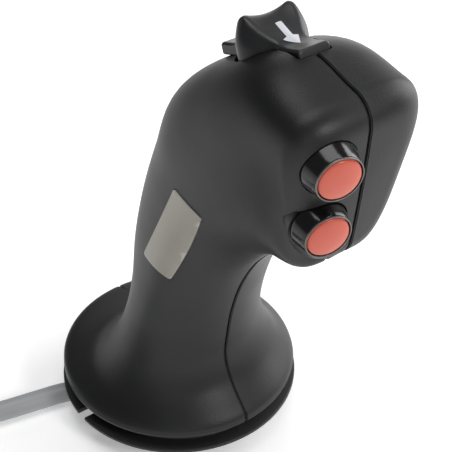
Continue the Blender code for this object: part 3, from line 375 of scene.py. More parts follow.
def turned(name, profile, finish, matrix, sides=96):
    """A turned mesh: a closed profile of (radius, height) swept round the local Z."""
    shape = bmesh.new()
    rings = []
    for radius, height in profile:
        if radius < 1e-7:
            rings.append([shape.verts.new((0, 0, height))])
            continue
        rings.append([shape.verts.new(spot) for spot in circle(radius, height, sides)])
    for lower, upper in zip(rings, rings[1:] + rings[:1]):
        if len(lower) == 1 and len(upper) == 1:
            continue
        for index in range(sides):
            after = (index + 1) % sides
            corners = [lower[index % len(lower)], lower[after % len(lower)],
                       upper[after % len(upper)], upper[index % len(upper)]]
            unique = list(dict.fromkeys(corners))
            if len(unique) > 2:
                shape.faces.new(unique)
    bmesh.ops.remove_doubles(shape, verts=shape.verts, dist=1e-7)
    bmesh.ops.transform(shape, matrix=matrix, verts=shape.verts)
    made = add_object(name, mesh_of(shape, name), finish)
    made.data.shade_smooth()
    made.data.set_sharp_from_angle(angle=math.radians(35))
    return made


def smooth_curve(points, parts=10):
    """A smooth line through the points, read evenly."""
    ends = [points[0] * 2 - points[1], *points, points[-1] * 2 - points[-2]]
    fine = []
    for before, start, end, after in zip(ends, ends[1:], ends[2:], ends[3:]):
        for part in range(parts):
            t = part / parts
            fine.append(
                (start * 2 + (end - before) * t + (before * 2 - start * 5 + end * 4 - after) * t**2
                 + (start * 3 - before - end * 3 + after) * t**3) / 2
            )
    fine.append(points[-1])
    return fine


# Loft of the grip


def skirt_up():
    return LIP_THICKNESS + GROOVE_HEIGHT


def grip_rows(edge_round=0.0):
    low = skirt_up()
    edge = BASE_RADIUS
    rows = [
        (edge, low + edge_round, -edge, low + edge_round, edge, 2.0, 0.0),
        (edge, low + SKIRT_WALL, -edge, low + SKIRT_WALL, edge, 2.0, 0.0),
        (edge - 0.0014, low + 0.0045, 0.0014 - edge, low + 0.0045, edge - 0.0014, 2.0, 0.0),
        (edge - 0.010, low + 0.0137, 0.018 - edge, low + 0.0075, edge - 0.0085, 2.0, -0.05),
    ]
    for *lengths, squareness, widening in GRIP_SECTIONS:
        rows.append((*[length / 1000 for length in lengths], squareness, widening))
    return rows


def blended(rows, steps):
    first = [2 * a - b for a, b in zip(rows[0], rows[1])]
    last = [2 * a - b for a, b in zip(rows[-1], rows[-2])]
    ends = [first, *rows, last]
    dense = []
    for before, start, end, after in zip(ends, ends[1:], ends[2:], ends[3:]):
        for part in range(steps):
            t = part / steps
            dense.append(
                [
                    (2 * p1 + (p2 - p0) * t + (2 * p0 - 5 * p1 + 4 * p2 - p3) * t**2
                     + (3 * p1 - p0 - 3 * p2 + p3) * t**3) / 2
                    for p0, p1, p2, p3 in zip(before, start, end, after)
                ]
            )
    dense.append(rows[-1])
    return dense


def oval(row, sides, inset=0.0, ahead=0.0, shrink=1.0):
    front, front_up, rear, rear_up, half_width, squareness, widening = row
    low = Vector((front, front_up))
    high = Vector((rear, rear_up))
    along = (high - low).normalized()
    out = Vector((along.y, -along.x))
    half_height = (high - low).length / 2
    middle = (low + high) / 2 + out * ahead
    ring = []
    for index in range(sides):
        angle = 2 * math.pi * index / sides
        across = math.copysign(abs(math.cos(angle)) ** (2 / squareness), math.cos(angle))
        up = math.copysign(abs(math.sin(angle)) ** (2 / squareness), math.sin(angle))
        spot = middle + along * (half_height - inset) * shrink * up
        width = (half_width - inset) * shrink * (1 + widening * up)
        ring.append(at(spot.x, spot.y, width * across))
    return ring


def circle(radius, up, sides):
    angles = [2 * math.pi * index / sides for index in range(sides)]
    return [Vector((radius * math.cos(a), radius * math.sin(a), up)) for a in angles]


def grip_rings(inset, sides, steps, rows):
    dense = blended(rows, steps)
    rings = [oval(row, sides, inset) for row in dense]
    nose = NOSE_ROUND - inset
    arcs = max(3, steps * 2)
    for part in range(1, arcs + 1):
        angle = math.pi / 2 * part / arcs
        rings.append(oval(dense[-1], sides, inset + nose * (1 - math.cos(angle)), nose * math.sin(angle)))
    for part in range(1, 5):
        shrink = 1 - part / 5
        rings.append(oval(dense[-1], sides, NOSE_ROUND, nose + NOSE_CROWN * (1 - shrink**2), shrink))
    return rings


def lofted(name, rings):
    shape = bmesh.new()
    rows = [[shape.verts.new(point) for point in ring] for ring in rings]
    count = len(rings[0])
    bridge(shape, rows)
    shape.faces.new(rows[0][::-1])
    tip = shape.verts.new(sum((vert.co for vert in rows[-1]), Vector()) / count)
    for index in range(count):
        shape.faces.new((rows[-1][index], rows[-1][(index + 1) % count], tip))
    return mesh_of(shape, name)


def outer_mesh(name, sides, steps):
    lip = BASE_RADIUS + LIP_PROUD
    groove = BASE_RADIUS - GROOVE_DEPTH
    soft = RIM_SOFT
    quarter = [math.pi / 2 * part / 4 for part in range(5)]
    profile = [(lip - soft + soft * math.sin(a), soft - soft * math.cos(a)) for a in quarter]
    profile += [
        (lip - soft + soft * math.cos(a), LIP_THICKNESS - soft + soft * math.sin(a)) for a in quarter
    ]
    profile += [
        (groove + GROOVE_SOFT, LIP_THICKNESS), (groove, LIP_THICKNESS + GROOVE_SOFT),
        (groove, skirt_up() - GROOVE_SOFT), (groove + GROOVE_SOFT, skirt_up()),
    ]
    profile += [
        (BASE_RADIUS - soft + soft * math.sin(a), skirt_up() + soft - soft * math.cos(a))
        for a in quarter[:4]
    ]
    rings = [circle(radius, up, sides) for radius, up in profile]
    return lofted(name, rings + grip_rings(0.0, sides, steps, grip_rows(soft)))


def inner_mesh(name, inset, base_radius, low, sides=48, steps=4):
    rings = [circle(base_radius, low, sides), circle(base_radius, skirt_up(), sides)]
    return lofted(name, rings + grip_rings(inset, sides, steps, grip_rows()[3:]))


def core_helper(name, inset, sides=48, steps=4):
    return helper(name, inner_mesh(name, inset, BASE_RADIUS - GROOVE_DEPTH - inset, CORE_LOW, sides, steps))


def paddle_frame():
    return Matrix.Translation(on_grid(PADDLE_FORWARD, PADDLE_UP)) @ Matrix.Rotation(-PADDLE_TILT, 4, "X")


def button_frame(which):
    across, forward, up = BUTTONS[which]
    outward = Vector(
        (
            -math.sin(BUTTON_TOE) * math.cos(BUTTON_DIP),
            -math.cos(BUTTON_TOE) * math.cos(BUTTON_DIP),
            -math.sin(BUTTON_DIP),
        )
    )
    return frame_on(on_grid(forward, up, across), outward)


def screw_lines():
    return [frame_on(on_grid(*point), Vector((1, 0, 0))) for point in SCREW_POINTS]


def rounded_box_mesh(name, half_width, half_length, low, high, corner, matrix):
    shape = bmesh.new()
    outline = []
    for quarter in range(4):
        side_x = 1 if quarter in (0, 3) else -1
        side_y = 1 if quarter in (0, 1) else -1
        for part in range(7):
            angle = math.pi / 2 * (quarter + part / 6)
            x = side_x * (half_width - corner) + corner * math.cos(angle)
            y = side_y * (half_length - corner) + corner * math.sin(angle)
            outline.append((x, y, low))
    raise_face(shape, outline, (0, 0, high - low))
    bmesh.ops.transform(shape, matrix=matrix, verts=shape.verts)
    return mesh_of(shape, name)


def trim_outline(gap):
    corners = [Vector((f / 1000, u / 1000)) for f, u in TRIM_CORNERS]
    outline = []
    for index, corner in enumerate(corners):
        before = (corners[index - 1] - corner).normalized()
        after = (corners[(index + 1) % len(corners)] - corner).normalized()
        half = before.angle(after) / 2
        inward = (before + after).normalized()
        middle = corner + inward * TRIM_CORNER_ROUND / math.sin(half)
        start = math.atan2(-inward.y, -inward.x)
        sweep = math.pi / 2 - half
        radius = TRIM_CORNER_ROUND + gap
        for part in range(9):
            angle = start + sweep * (part / 4 - 1)
            outline.append(middle + Vector((math.cos(angle), math.sin(angle))) * radius)
    area = sum(a.x * b.y - b.x * a.y for a, b in zip(outline, outline[1:] + outline[:1]))
    return outline if area > 0 else outline[::-1]


def trim_prism(name, gap, side, inner):
    shape = bmesh.new()
    corners = [at(spot.x, spot.y, side * inner) for spot in trim_outline(gap)]
    raise_face(shape, corners, (side * TRIM_REACH, 0, 0))
    return helper_of(shape, name)


# Materials


def new_group(name, inputs, outputs):
    """An empty shader group with named float inputs and its outputs."""
    group = bpy.data.node_groups.new(name, "ShaderNodeTree")
    for label, value in inputs:
        socket = group.interface.new_socket(label, in_out="INPUT", socket_type="NodeSocketFloat")
        socket.default_value = value
    for label, kind in outputs:
        group.interface.new_socket(label, in_out="OUTPUT", socket_type=kind)
    return group, group.nodes.new("NodeGroupInput"), group.nodes.new("NodeGroupOutput")


def add_node(tree, kind, inputs, **settings):
    """A node of the tree. Each input is given a value, or linked when a socket is given."""
    made = tree.nodes.new(kind)
    for name, value in settings.items():
        setattr(made, name, value)
    for key, value in inputs.items():
        if isinstance(value, bpy.types.NodeSocket):
            tree.links.new(value, made.inputs[key])
        else:
            made.inputs[key].default_value = value
    return made


def grain_group():
    """Fine moulded texture: a height for Bump and a slow mottling from 0 to 1."""
    if "Moulded Grain" in bpy.data.node_groups:
        return bpy.data.node_groups["Moulded Grain"]
    group, put, out = new_group(
        "Moulded Grain",
        [("Grain Scale", 1500.0), ("Mottle Scale", 60.0), ("Speckle", 0.5)],
        [("Height", "NodeSocketFloat"), ("Mottle", "NodeSocketFloat")],
    )
    place = add_node(group, "ShaderNodeTexCoord", {}).outputs["Object"]
    scale = put.outputs["Grain Scale"]
    fine = add_node(group, "ShaderNodeTexNoise", {"Detail": 2.0, "Vector": place, "Scale": scale})
    cells = add_node(group, "ShaderNodeTexVoronoi", {"Vector": place, "Scale": scale})
    mix = add_node(group, "ShaderNodeMix", {
        "Factor": put.outputs["Speckle"], "A": fine.outputs["Fac"], "B": cells.outputs["Distance"],
    })
    group.links.new(mix.outputs["Result"], out.inputs["Height"])
    slow = add_node(group, "ShaderNodeTexNoise", {
        "Detail": 3.0, "Vector": place, "Scale": put.outputs["Mottle Scale"],
    })
    group.links.new(slow.outputs["Fac"], out.inputs["Mottle"])
    return group


def edge_wear_and_highlight_group():
    """Edge wear and painted highlight: 1 on sharp convex edges, broken up by noise."""
    if "Edge Wear" in bpy.data.node_groups:
        return bpy.data.node_groups["Edge Wear"]
    group, put, out = new_group(
        "Edge Wear", [("Start", 0.52), ("Break Up", 0.4)], [("Wear", "NodeSocketFloat")]
    )
    shape = add_node(group, "ShaderNodeNewGeometry", {})
    place = add_node(group, "ShaderNodeTexCoord", {})
    noise = add_node(group, "ShaderNodeTexNoise", {"Scale": 240.0, "Vector": place.outputs["Object"]})
    edge = add_node(group, "ShaderNodeMapRange", {
        "Value": shape.outputs["Pointiness"], "From Min": put.outputs["Start"], "From Max": 0.62,
    })
    less = add_node(
        group, "ShaderNodeMath", {0: noise.outputs["Fac"], 1: put.outputs["Break Up"]}, operation="MULTIPLY"
    )
    take = add_node(
        group, "ShaderNodeMath", {0: edge.outputs["Result"], 1: less.outputs[0]}, operation="SUBTRACT",
        use_clamp=True,
    )
    group.links.new(take.outputs[0], out.inputs["Wear"])
    return group


def finish(name, colour, worn_and_highlit, roughness, grain, bump, metallic=0.0, wear=0.3, coat=0.0, spread=0.06,
           specular=0.5):
    """A material from grain and a lighter colour on sharp edges, part wear and part painted highlight.
    colour is the body colour and the second colour is the one at edges.
    """
    if name in bpy.data.materials:
        return bpy.data.materials[name]
    made = bpy.data.materials.new(name)
    made.use_nodes = True
    tree = made.node_tree
    texture = add_node(tree, "ShaderNodeGroup", {}, node_tree=grain_group())
    texture.inputs["Grain Scale"].default_value = grain
    wear_and_highlight_at = add_node(tree, "ShaderNodeGroup", {}, node_tree=edge_wear_and_highlight_group())
    mottle = texture.outputs["Mottle"]
    tone = add_node(tree, "ShaderNodeMix", {
        "Factor": mottle,
        "A": (*[part * 0.9 for part in colour], 1.0),
        "B": (*[min(1.0, part * 1.12) for part in colour], 1.0),
    }, data_type="RGBA")
    # Painted highlight with wear: sharp convex edges are mixed towards the lighter edge colour.
    amount = add_node(
        tree, "ShaderNodeMath", {0: wear_and_highlight_at.outputs["Wear"], 1: wear}, operation="MULTIPLY"
    )
    colour_mix = add_node(tree, "ShaderNodeMix", {
        "Factor": amount.outputs[0], "A": tone.outputs["Result"], "B": (*worn_and_highlit, 1.0),
    }, data_type="RGBA")
    rough = add_node(tree, "ShaderNodeMapRange", {
        "Value": mottle, "To Min": max(0.02, roughness - spread), "To Max": roughness + spread,
    })
    relief = add_node(tree, "ShaderNodeBump", {
        "Strength": bump, "Distance": 0.0002, "Height": texture.outputs["Height"],
    })
    shader = tree.nodes["Principled BSDF"]
    shader.inputs["Metallic"].default_value = metallic
    shader.inputs["Coat Weight"].default_value = coat
    shader.inputs["Specular IOR Level"].default_value = specular
    tree.links.new(colour_mix.outputs["Result"], shader.inputs["Base Color"])
    tree.links.new(rough.outputs["Result"], shader.inputs["Roughness"])
    tree.links.new(relief.outputs["Normal"], shader.inputs["Normal"])
    return made


def charcoal(props):
    tone = tuple(props.housing_colour)
    # Lighter colour on the housing's sharp edges: part wear, part painted highlight.
    worn_and_highlit = (0.06, 0.06, 0.064)
    return finish("moulded_charcoal", tone, worn_and_highlit, props.housing_roughness, 1700.0, 0.25, specular=0.36)


def black_paddle():
    return finish("satin_black", (0.012, 0.0125, 0.014), (0.09, 0.09, 0.095), 0.40, 1900.0, 0.22)


def gloss_black():
    return finish("gloss_black", (0.006, 0.006, 0.007), (0.05, 0.05, 0.05), 0.16, 900.0, 0.02, spread=0.03)


def red_cap(props):
    tone = tuple(props.button_colour)
    return finish("satin_red", tone, (0.75, 0.30, 0.22), 0.34, 1500.0, 0.06, coat=0.15, wear=0.2)


def silver_trim():
    return finish("silver_trim", (0.33, 0.315, 0.275), (0.62, 0.60, 0.55), 0.42, 2400.0, 0.10, 0.55, 0.7)


# Painted highlight in part: the ring's light grey is partly its own colour and partly stands in for the
# highlight along the glossy bezel's rim.
def bright_rim():
    return finish("bright_rim", (0.15, 0.145, 0.135), (0.3, 0.3, 0.28), 0.30, 1500.0, 0.04, 0.5)


def zinc():
    return finish("zinc_steel", (0.46, 0.46, 0.45), (0.7, 0.7, 0.7), 0.34, 1300.0, 0.10, 1.0)


def spring_wire():
    return finish("spring_wire", (0.33, 0.33, 0.34), (0.6, 0.6, 0.6), 0.28, 1500.0, 0.05, 1.0)


def brass():
    return finish("brass", (0.60, 0.44, 0.17), (0.85, 0.70, 0.40), 0.32, 1500.0, 0.08, 1.0)


def nylon():
    return finish("nylon", (0.085, 0.085, 0.088), (0.2, 0.2, 0.2), 0.5, 1200.0, 0.2)


def switch_case():
    return finish("switch_case", (0.035, 0.045, 0.065), (0.12, 0.14, 0.18), 0.45, 1300.0, 0.15)


# Black rubber for the boot and the loom; the same matt black is also painted as shade in the housing's
# seam, groove and lip top.
def black_rubber():
    return finish("black_rubber", (0.014, 0.014, 0.015), (0.05, 0.05, 0.05), 0.62, 900.0, 0.3)


def grey_jacket():
    return finish("grey_jacket", (0.33, 0.34, 0.35), (0.5, 0.5, 0.5), 0.42, 700.0, 0.12, wear=0.0)


def white_ink():
    return finish("light_ink", (0.62, 0.64, 0.67), (0.7, 0.7, 0.7), 0.5, 2000.0, 0.1, wear=0.0)


# Operators


class GripSettings(bpy.types.PropertyGroup):
    housing_colour: bpy.props.FloatVectorProperty(
        name="Housing colour", description="Body colour of the moulded housing", subtype="COLOR",
        size=3, min=0.0, max=1.0, default=(0.0085, 0.0088, 0.0096),
    )
    housing_roughness: bpy.props.FloatProperty(
        name="Housing roughness", description="How dull the moulded texture is", subtype="FACTOR",
        min=0.0, max=1.0, default=0.44,
    )
    button_colour: bpy.props.FloatVectorProperty(
        name="Button colour", description="Colour of both button caps", subtype="COLOR",
        size=3, min=0.0, max=1.0, default=(0.56, 0.088, 0.048),
    )
    housing_sides: bpy.props.IntProperty(
        name="Housing sides", description="Points round each section of the housing",
        min=44, max=240, default=120,
    )
    cable_diameter: bpy.props.FloatProperty(
        name="Cable diameter", description="Outside of the cable's jacket", subtype="DISTANCE",
        unit="LENGTH", default=2 * CABLE_RADIUS,
    )
    bezel_rim: bpy.props.FloatProperty(
        name="Bezel rim", description="Radius of a bezel at its rim", subtype="DISTANCE", unit="LENGTH",
        default=BEZEL_RIM_RADIUS,
    )
    seam_width: bpy.props.FloatProperty(
        name="Seam width", description="Width of the groove between the housing halves",
        subtype="DISTANCE", unit="LENGTH", default=SEAM_WIDTH,
    )
    lens: bpy.props.FloatProperty(
        name="Lens", description="Focal length of the camera on a 36 mm sensor", subtype="DISTANCE_CAMERA",
        unit="CAMERA", default=CAMERA_LENS,
    )


class GRIP_OT_stage(bpy.types.Operator):
    """Put the camera, the floor and the studio lights in place"""

    bl_idname = "grip.stage"
    bl_label = "Stage"

    def execute(self, context):
        props = context.scene.grip
        camera = bpy.data.objects.new("camera", bpy.data.cameras.new("camera"))
        camera.data.lens = props.lens
        camera.data.sensor_width = SENSOR_WIDTH
        camera.data.clip_start = 0.01
        camera.location = CAMERA_PLACE
        camera.rotation_euler = (math.pi / 2 - CAMERA_DOWN, 0.0, CAMERA_TURN)
        context.scene.collection.objects.link(camera)
        context.scene.camera = camera
        self.lights(context)
        self.floor(context)
        world = bpy.data.worlds.new("studio")
        world.use_nodes = True
        world.node_tree.nodes["Background"].inputs["Color"].default_value = (1.0, 1.0, 1.0, 1.0)
        world.node_tree.nodes["Background"].inputs["Strength"].default_value = WORLD_STRENGTH
        context.scene.world = world
        context.scene.view_settings.view_transform = "Standard"
        return {"FINISHED"}

    def lights(self, context):
        target = Vector(LIGHTS_AIM)
        for name, place, size, power in LIGHTS:
            data = bpy.data.lights.new(name, "AREA")
            data.energy = power
            data.size = size
            light = bpy.data.objects.new(name, data)
            light.location = place
            light.rotation_euler = (target - Vector(place)).to_track_quat("-Z", "Y").to_euler()
            context.scene.collection.objects.link(light)

    def floor(self, context):
        shape = bmesh.new()
        bmesh.ops.create_grid(shape, x_segments=1, y_segments=1, size=3.0)
        bmesh.ops.translate(shape, vec=(0, 0, FLOOR_UP - FLOOR_GAP), verts=shape.verts)
        pale = bpy.data.materials.new("floor")
        pale.use_nodes = True
        shader = pale.node_tree.nodes["Principled BSDF"]
        shader.inputs["Base Color"].default_value = (0.93, 0.93, 0.93, 1.0)
        shader.inputs["Roughness"].default_value = 0.9
        shader.inputs["Emission Color"].default_value = (1.0, 1.0, 1.0, 1.0)
        shader.inputs["Emission Strength"].default_value = 0.30
        ground = add_object("floor", mesh_of(shape, "floor", False), pale)


def cord_points():
    """The cable's whole centreline: route, coil of two layers, and tail to the plug's boot."""
    line = smooth_curve([Vector(point) for point in CABLE_ROUTE], 4)
    low = FLOOR_UP + TIE_THICKNESS + FIT + CABLE_RADIUS
    centre = Vector(COIL_CENTRE)
    outer = COIL_MEAN_RADIUS + COIL_PITCH

    def on_coil(turns):
        """In over two turns, up over a part of a turn, and out over two turns."""
        climb = min(1.0, max(0.0, (turns - 2) / COIL_CLIMB))
        radius = outer - COIL_PITCH * min(2.0, turns) + COIL_PITCH * max(0.0, turns - 2 - COIL_CLIMB)
        radius -= 0.0008 * math.sin(math.pi * climb)
        up = low + COIL_PITCH * (3 * climb**2 - 2 * climb**3)
        angle = COIL_START + 2 * math.pi * turns
        return Vector((centre.x + radius * math.cos(angle), centre.y + radius * math.sin(angle), up))

    start, first = on_coil(0.0), line[-1]
    for part in range(1, 8):
        t = part / 8
        between = first.lerp(start, t)
        between.z = first.z + (start.z - first.z) * (3 * t**2 - 2 * t**3)
        line.append(between)
    whole = 4 + COIL_CLIMB
    steps = round(whole * COIL_POINTS_A_TURN)
    line += [on_coil(whole * step / steps) for step in range(steps + 1)]
    last = line[-1]
    drop = last.z - (FLOOR_UP + PLUG_RADIUS)
    reach = BOOT_CLEAR + BOOT_GRIP
    for part in range(1, 13):
        t = part / 12
        fall = min(1.0, t * reach / BOOT_CLEAR)
        line.append(Vector((last.x, last.y - reach * t, last.z - drop * (3 * fall**2 - 2 * fall**3))))
    return line


class GRIP_OT_cable(bpy.types.Operator):
    """Lay the cable out of the base, wind its coil and lead its end into the plug's boot"""

    bl_idname = "grip.cable"
    bl_label = "Cable"

    def execute(self, context):
        props = context.scene.grip
        points = cord_points()
        curve = bpy.data.curves.new("cable_jacket", "CURVE")
        curve.dimensions = "3D"
        curve.bevel_depth = props.cable_diameter / 2
        curve.bevel_resolution = 6
        curve.use_fill_caps = True
        spline = curve.splines.new("POLY")
        spline.points.add(len(points) - 1)
        for point, place in zip(spline.points, points):
            point.co = (*place, 1.0)
        spline.use_smooth = True
        jacket = bpy.data.objects.new("cable_jacket", curve)
        context.scene.collection.objects.link(jacket)
        curve.materials.append(grey_jacket())
        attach(jacket, "grip")
        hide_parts("cable", "cable_coil")
        return {"FINISHED"}


class GRIP_OT_housing(bpy.types.Operator):
    """Mould the two housing halves with their seam, base groove, well, pads and screw seats"""

    bl_idname = "grip.housing"
    bl_label = "Housing halves"

    def execute(self, context):
        props = context.scene.grip
        outer = outer_mesh("housing", props.housing_sides, 7)
        cavity = helper(
            "cavity", inner_mesh("cavity", WALL, BASE_RADIUS - GROOVE_DEPTH - BASE_WALL, -OVERLAP)
        )
        core = core_helper("core", WALL / 3)
        fills = (self.webs(), self.well_block())
        cuts = (self.passage(), *self.well())
        pads, pockets, seats, holes = self.pads()
        seam = self.slab("seam", props.seam_width / 2, SEAM_DEPTH)
        edges = self.slab("seam_edges", props.seam_width / 2 + SEAM_EDGE, SEAM_EDGE_DEPTH)
        bed = core_helper("trim_bed", TRIM_DEPTH + FIT)
        for name, side in (("housing_right", -1), ("housing_left", 1)):
            half = add_object(f"{name}_shell", outer.copy(), charcoal(props))
            away = helper(
                f"{name}_away",
                box_mesh(
                    f"{name}_away",
                    (-SEAM_CLOSED if side < 0 else -BEYOND, -BEYOND, -BEYOND),
                    (BEYOND if side < 0 else SEAM_CLOSED, BEYOND, BEYOND),
                ),
            )
            cut(half, away)
            cut(half, cavity)
            for fill in fills:
                own = helper(f"{name}_{fill.name}", fill.data.copy())
                cut(own, core, "INTERSECT")
                cut(own, away)
                cut(half, own, "UNION")
            for tool in cuts:
                cut(half, tool)
            if side < 0:
                cut(half, pads, "UNION")
                for tool in (pockets, seats, holes):
                    cut(half, tool)
            cut(half, edges)
            cut(half, seam)
            for tool in self.drills(side):
                cut(half, tool)
            prism = trim_prism(f"{name}_trim_cut", TRIM_GAP, side, TRIM_CUT_FROM)
            cut(prism, bed)
            cut(half, prism)
            inner = BASE_RADIUS - GROOVE_DEPTH + FIT
            notch = box_mesh(
                f"{name}_notch",
                (-BEYOND if side < 0 else inner, NOTCH_MIDDLE - NOTCH_WIDTH / 2, -OVERLAP),
                (-inner if side < 0 else BEYOND, NOTCH_MIDDLE + NOTCH_WIDTH / 2, LIP_THICKNESS + OVERLAP),
            )
            cut(half, helper(f"{name}_notch", notch))
            baked(half, 30.0)
            if len(half.data.polygons) < 3000:
                raise RuntimeError(f"{name} lost its surface in a cut")
            # Painted shade: the seam, the base groove and the lip's top are made matt black.
            self.paint_recess_shade(half, props.seam_width)
            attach(half, "grip")
            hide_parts(name)
        drop_helpers()
        bpy.data.meshes.remove(outer)
        return {"FINISHED"}

    def paint_recess_shade(self, half, seam_width):
        """Painted shade: a matt black on the faces inside the seam, in the base groove and on top of the
        lip, where shade falls.
        """
        half.data.materials.append(black_rubber())
        for face in half.data.polygons:
            middle = face.center
            in_seam = abs(middle.x) < seam_width / 2 + 2e-5
            reach = math.hypot(middle.x, middle.y)
            in_groove = 0.0006 < middle.z < skirt_up() + 1e-4 and reach < BASE_RADIUS + LIP_PROUD - 0.0006
            if in_seam or in_groove:
                face.material_index = 1

    def slab(self, name, half_width, depth):
        foot = LIP_THICKNESS + GROOVE_SOFT
        slab = helper(name, box_mesh(name, (-half_width, -BEYOND, foot), (half_width, BEYOND, BEYOND)))
        groove = BASE_RADIUS - GROOVE_DEPTH - depth
        skirt = skirt_up() + depth
        foot_rings = [
            circle(groove, CORE_LOW, 96), circle(groove, skirt, 96),
            circle(BASE_RADIUS - depth, skirt + 1e-5, 96),
        ]
        bed = lofted(f"{name}_bed", foot_rings + grip_rings(depth, 96, 6, grip_rows()[1:]))
        cut(slab, helper(f"{name}_bed", bed))
        return slab

    def webs(self):
        shape = bmesh.new()
        reach = BASE_RADIUS
        for line in screw_lines():
            add_cylinder(shape, BOSS_RADIUS, -reach, reach, line, 32)
        collar_low = INSERT_LOW + (INSERT_LENGTH - COLLAR_THICKNESS) / 2
        for low in (collar_low - FIT - WEB_THICKNESS, collar_low + COLLAR_THICKNESS + FIT):
            middle = Vector((0, (reach - WEB_FRONT) / 2, low + WEB_THICKNESS / 2))
            size = Matrix.Diagonal((2 * reach, reach + WEB_FRONT, WEB_THICKNESS, 1))
            bmesh.ops.create_cube(shape, size=1.0, matrix=Matrix.Translation(middle) @ size)
        low = RELIEF_GROOVE_LOW + FIT
        high = RELIEF_GROOVE_LOW + RELIEF_GROOVE_HEIGHT - FIT
        rear = RELIEF_FORWARD - RELIEF_RADIUS - 0.002
        middle = Vector((0, -(rear + reach) / 2, (low + high) / 2))
        size = Matrix.Diagonal((2 * reach, reach - rear, high - low, 1))
        bmesh.ops.create_cube(shape, size=1.0, matrix=Matrix.Translation(middle) @ size)
        return helper_of(shape, "webs")

    def passage(self):
        shape = bmesh.new()
        add_cylinder(
            shape, INSERT_HEX_RADIUS + FIT, INSERT_LOW - OVERLAP, INSERT_LOW + INSERT_LENGTH + OVERLAP,
            Matrix.Identity(4), 6, turn=math.radians(30),
        )
        add_cylinder(
            shape, RELIEF_NECK_RADIUS + FIT, RELIEF_GROOVE_LOW - OVERLAP,
            RELIEF_GROOVE_LOW + RELIEF_GROOVE_HEIGHT + OVERLAP,
            Matrix.Translation(at(RELIEF_FORWARD, 0)), 32,
        )
        return helper_of(shape, "insert_passage")

    def well_block(self):
        half_width, half_length = TONGUE_HALF_WIDTH + WELL_GAP, TONGUE_END + WELL_GAP
        mesh = rounded_box_mesh(
            "well_block", half_width + WELL_WALL, half_length + WELL_WALL, -WELL_DEPTH - WELL_FLOOR,
            WELL_TOP, WELL_BLOCK_CORNER, paddle_frame(),
        )
        return helper("well_block", mesh)

    def well(self):
        frame_of = paddle_frame()
        half_width, half_length = TONGUE_HALF_WIDTH + WELL_GAP, TONGUE_END + WELL_GAP
        well = rounded_box_mesh(
            "well", half_width, half_length, -WELL_DEPTH, WELL_TOP, WELL_CORNER, frame_of
        )
        opening = box_mesh(
            "well_opening",
            (-POST_REACH - FIT, -POCKET_HALF_LENGTH - FIT, -WELL_DEPTH - WELL_FLOOR - OVERLAP),
            (POST_REACH + FIT, POCKET_HALF_LENGTH + FIT, -WELL_DEPTH + OVERLAP),
            frame_of,
        )
        return [helper(mesh.name, mesh) for mesh in (well, opening, self.saddle())]

    def saddle(self):
        shape = bmesh.new()
        rows = []
        for part in range(-24, 25):
            y = SADDLE_HALF_LENGTH * part / 24
            x = paddle_half_width(max(abs(y) - SADDLE_SWEEP, 0.0)) + WELL_GAP
            corners = ((-x, -SADDLE_DEPTH), (x, -SADDLE_DEPTH), (x, WELL_TOP), (-x, WELL_TOP))
            rows.append([shape.verts.new((across, y, up)) for across, up in corners])
        bridge_closed(shape, rows)
        bmesh.ops.transform(shape, matrix=paddle_frame(), verts=shape.verts)
        return mesh_of(shape, "well_saddle")

    def pads(self):
        pads, pockets, holes, seats = bmesh.new(), bmesh.new(), bmesh.new(), bmesh.new()
        for which in BUTTONS:
            frame_of = button_frame(which)
            top = -BEZEL_PROUD - FIT
            add_cylinder(pads, PAD_RADIUS - PAD_TAPER, top - 2 * PAD_FLOOR, top, frame_of, 72, PAD_RADIUS)
            add_cylinder(pockets, PAD_POCKET_RADIUS, PAD_POCKET_LOW, top - PAD_FLOOR, frame_of, 32)
            add_cylinder(holes, BARREL_RADIUS + FIT, PAD_HOLE_LOW, top + OVERLAP, frame_of, 48)
            add_cylinder(seats, BEZEL_FOOT_RADIUS + FIT, top, 0.0, frame_of, 96)
        pocket = helper_of(pockets, "button_pockets")
        cut(pocket, core_helper("pocket_limit", 0.0012), "INTERSECT")
        return (
            helper_of(pads, "button_pads"), pocket, helper_of(seats, "button_seats"),
            helper_of(holes, "button_holes"),
        )

    def drills(self, side):
        drill, sink = bmesh.new(), bmesh.new()
        for line in screw_lines():
            if side < 0:
                add_cylinder(drill, NUT_RADIUS + FIT / 2, -SCREW_SEAT, OVERLAP, line, 24)
            else:
                add_cylinder(drill, SCREW_RADIUS + FIT / 2, -OVERLAP, SCREW_SEAT + OVERLAP, line, 24)
                add_cylinder(sink, SCREW_HEAD_RADIUS + FIT, SCREW_SEAT, SINK_TOP, line, 48)
        tools = [helper_of(drill, f"drill_{side}")]
        if side > 0:
            tools.append(helper_of(sink, "screw_sinks"))
        else:
            sink.free()
        return tools


class GRIP_OT_trim(bpy.types.Operator):
    """Press the blank trim plates into the flanks"""

    bl_idname = "grip.trim"
    bl_label = "Trim plates"

    def execute(self, context):
        proud = inner_mesh("trim_skin", -TRIM_PROUD, BASE_RADIUS, 0.0, 120, 7)
        bed = core_helper("trim_back", TRIM_DEPTH)
        for name, side in (("trim_plate_right", -1), ("trim_plate_left", 1)):
            plate = add_object(f"{name}_face", proud.copy(), silver_trim())
            cut(plate, trim_prism(f"{name}_outline", 0.0, side, TRIM_FACE_FROM), "INTERSECT")
            cut(plate, bed)
            baked(plate, 30.0)
            edge = plate.modifiers.new("Soft edge", "BEVEL")
            edge.width = TRIM_EDGE
            edge.segments = 2
            edge.limit_method = "ANGLE"
            edge.angle_limit = math.radians(40)
            baked(plate, 40.0)
            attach(plate, "grip")
            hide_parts(name)
        drop_helpers()
        return {"FINISHED"}


def paddle_half_width(reach):
    blend = min(1.0, reach / LOBE_REACH)
    return TONGUE_HALF_WIDTH + (WAIST_HALF_WIDTH - TONGUE_HALF_WIDTH) * (1 - blend**2) ** 1.5


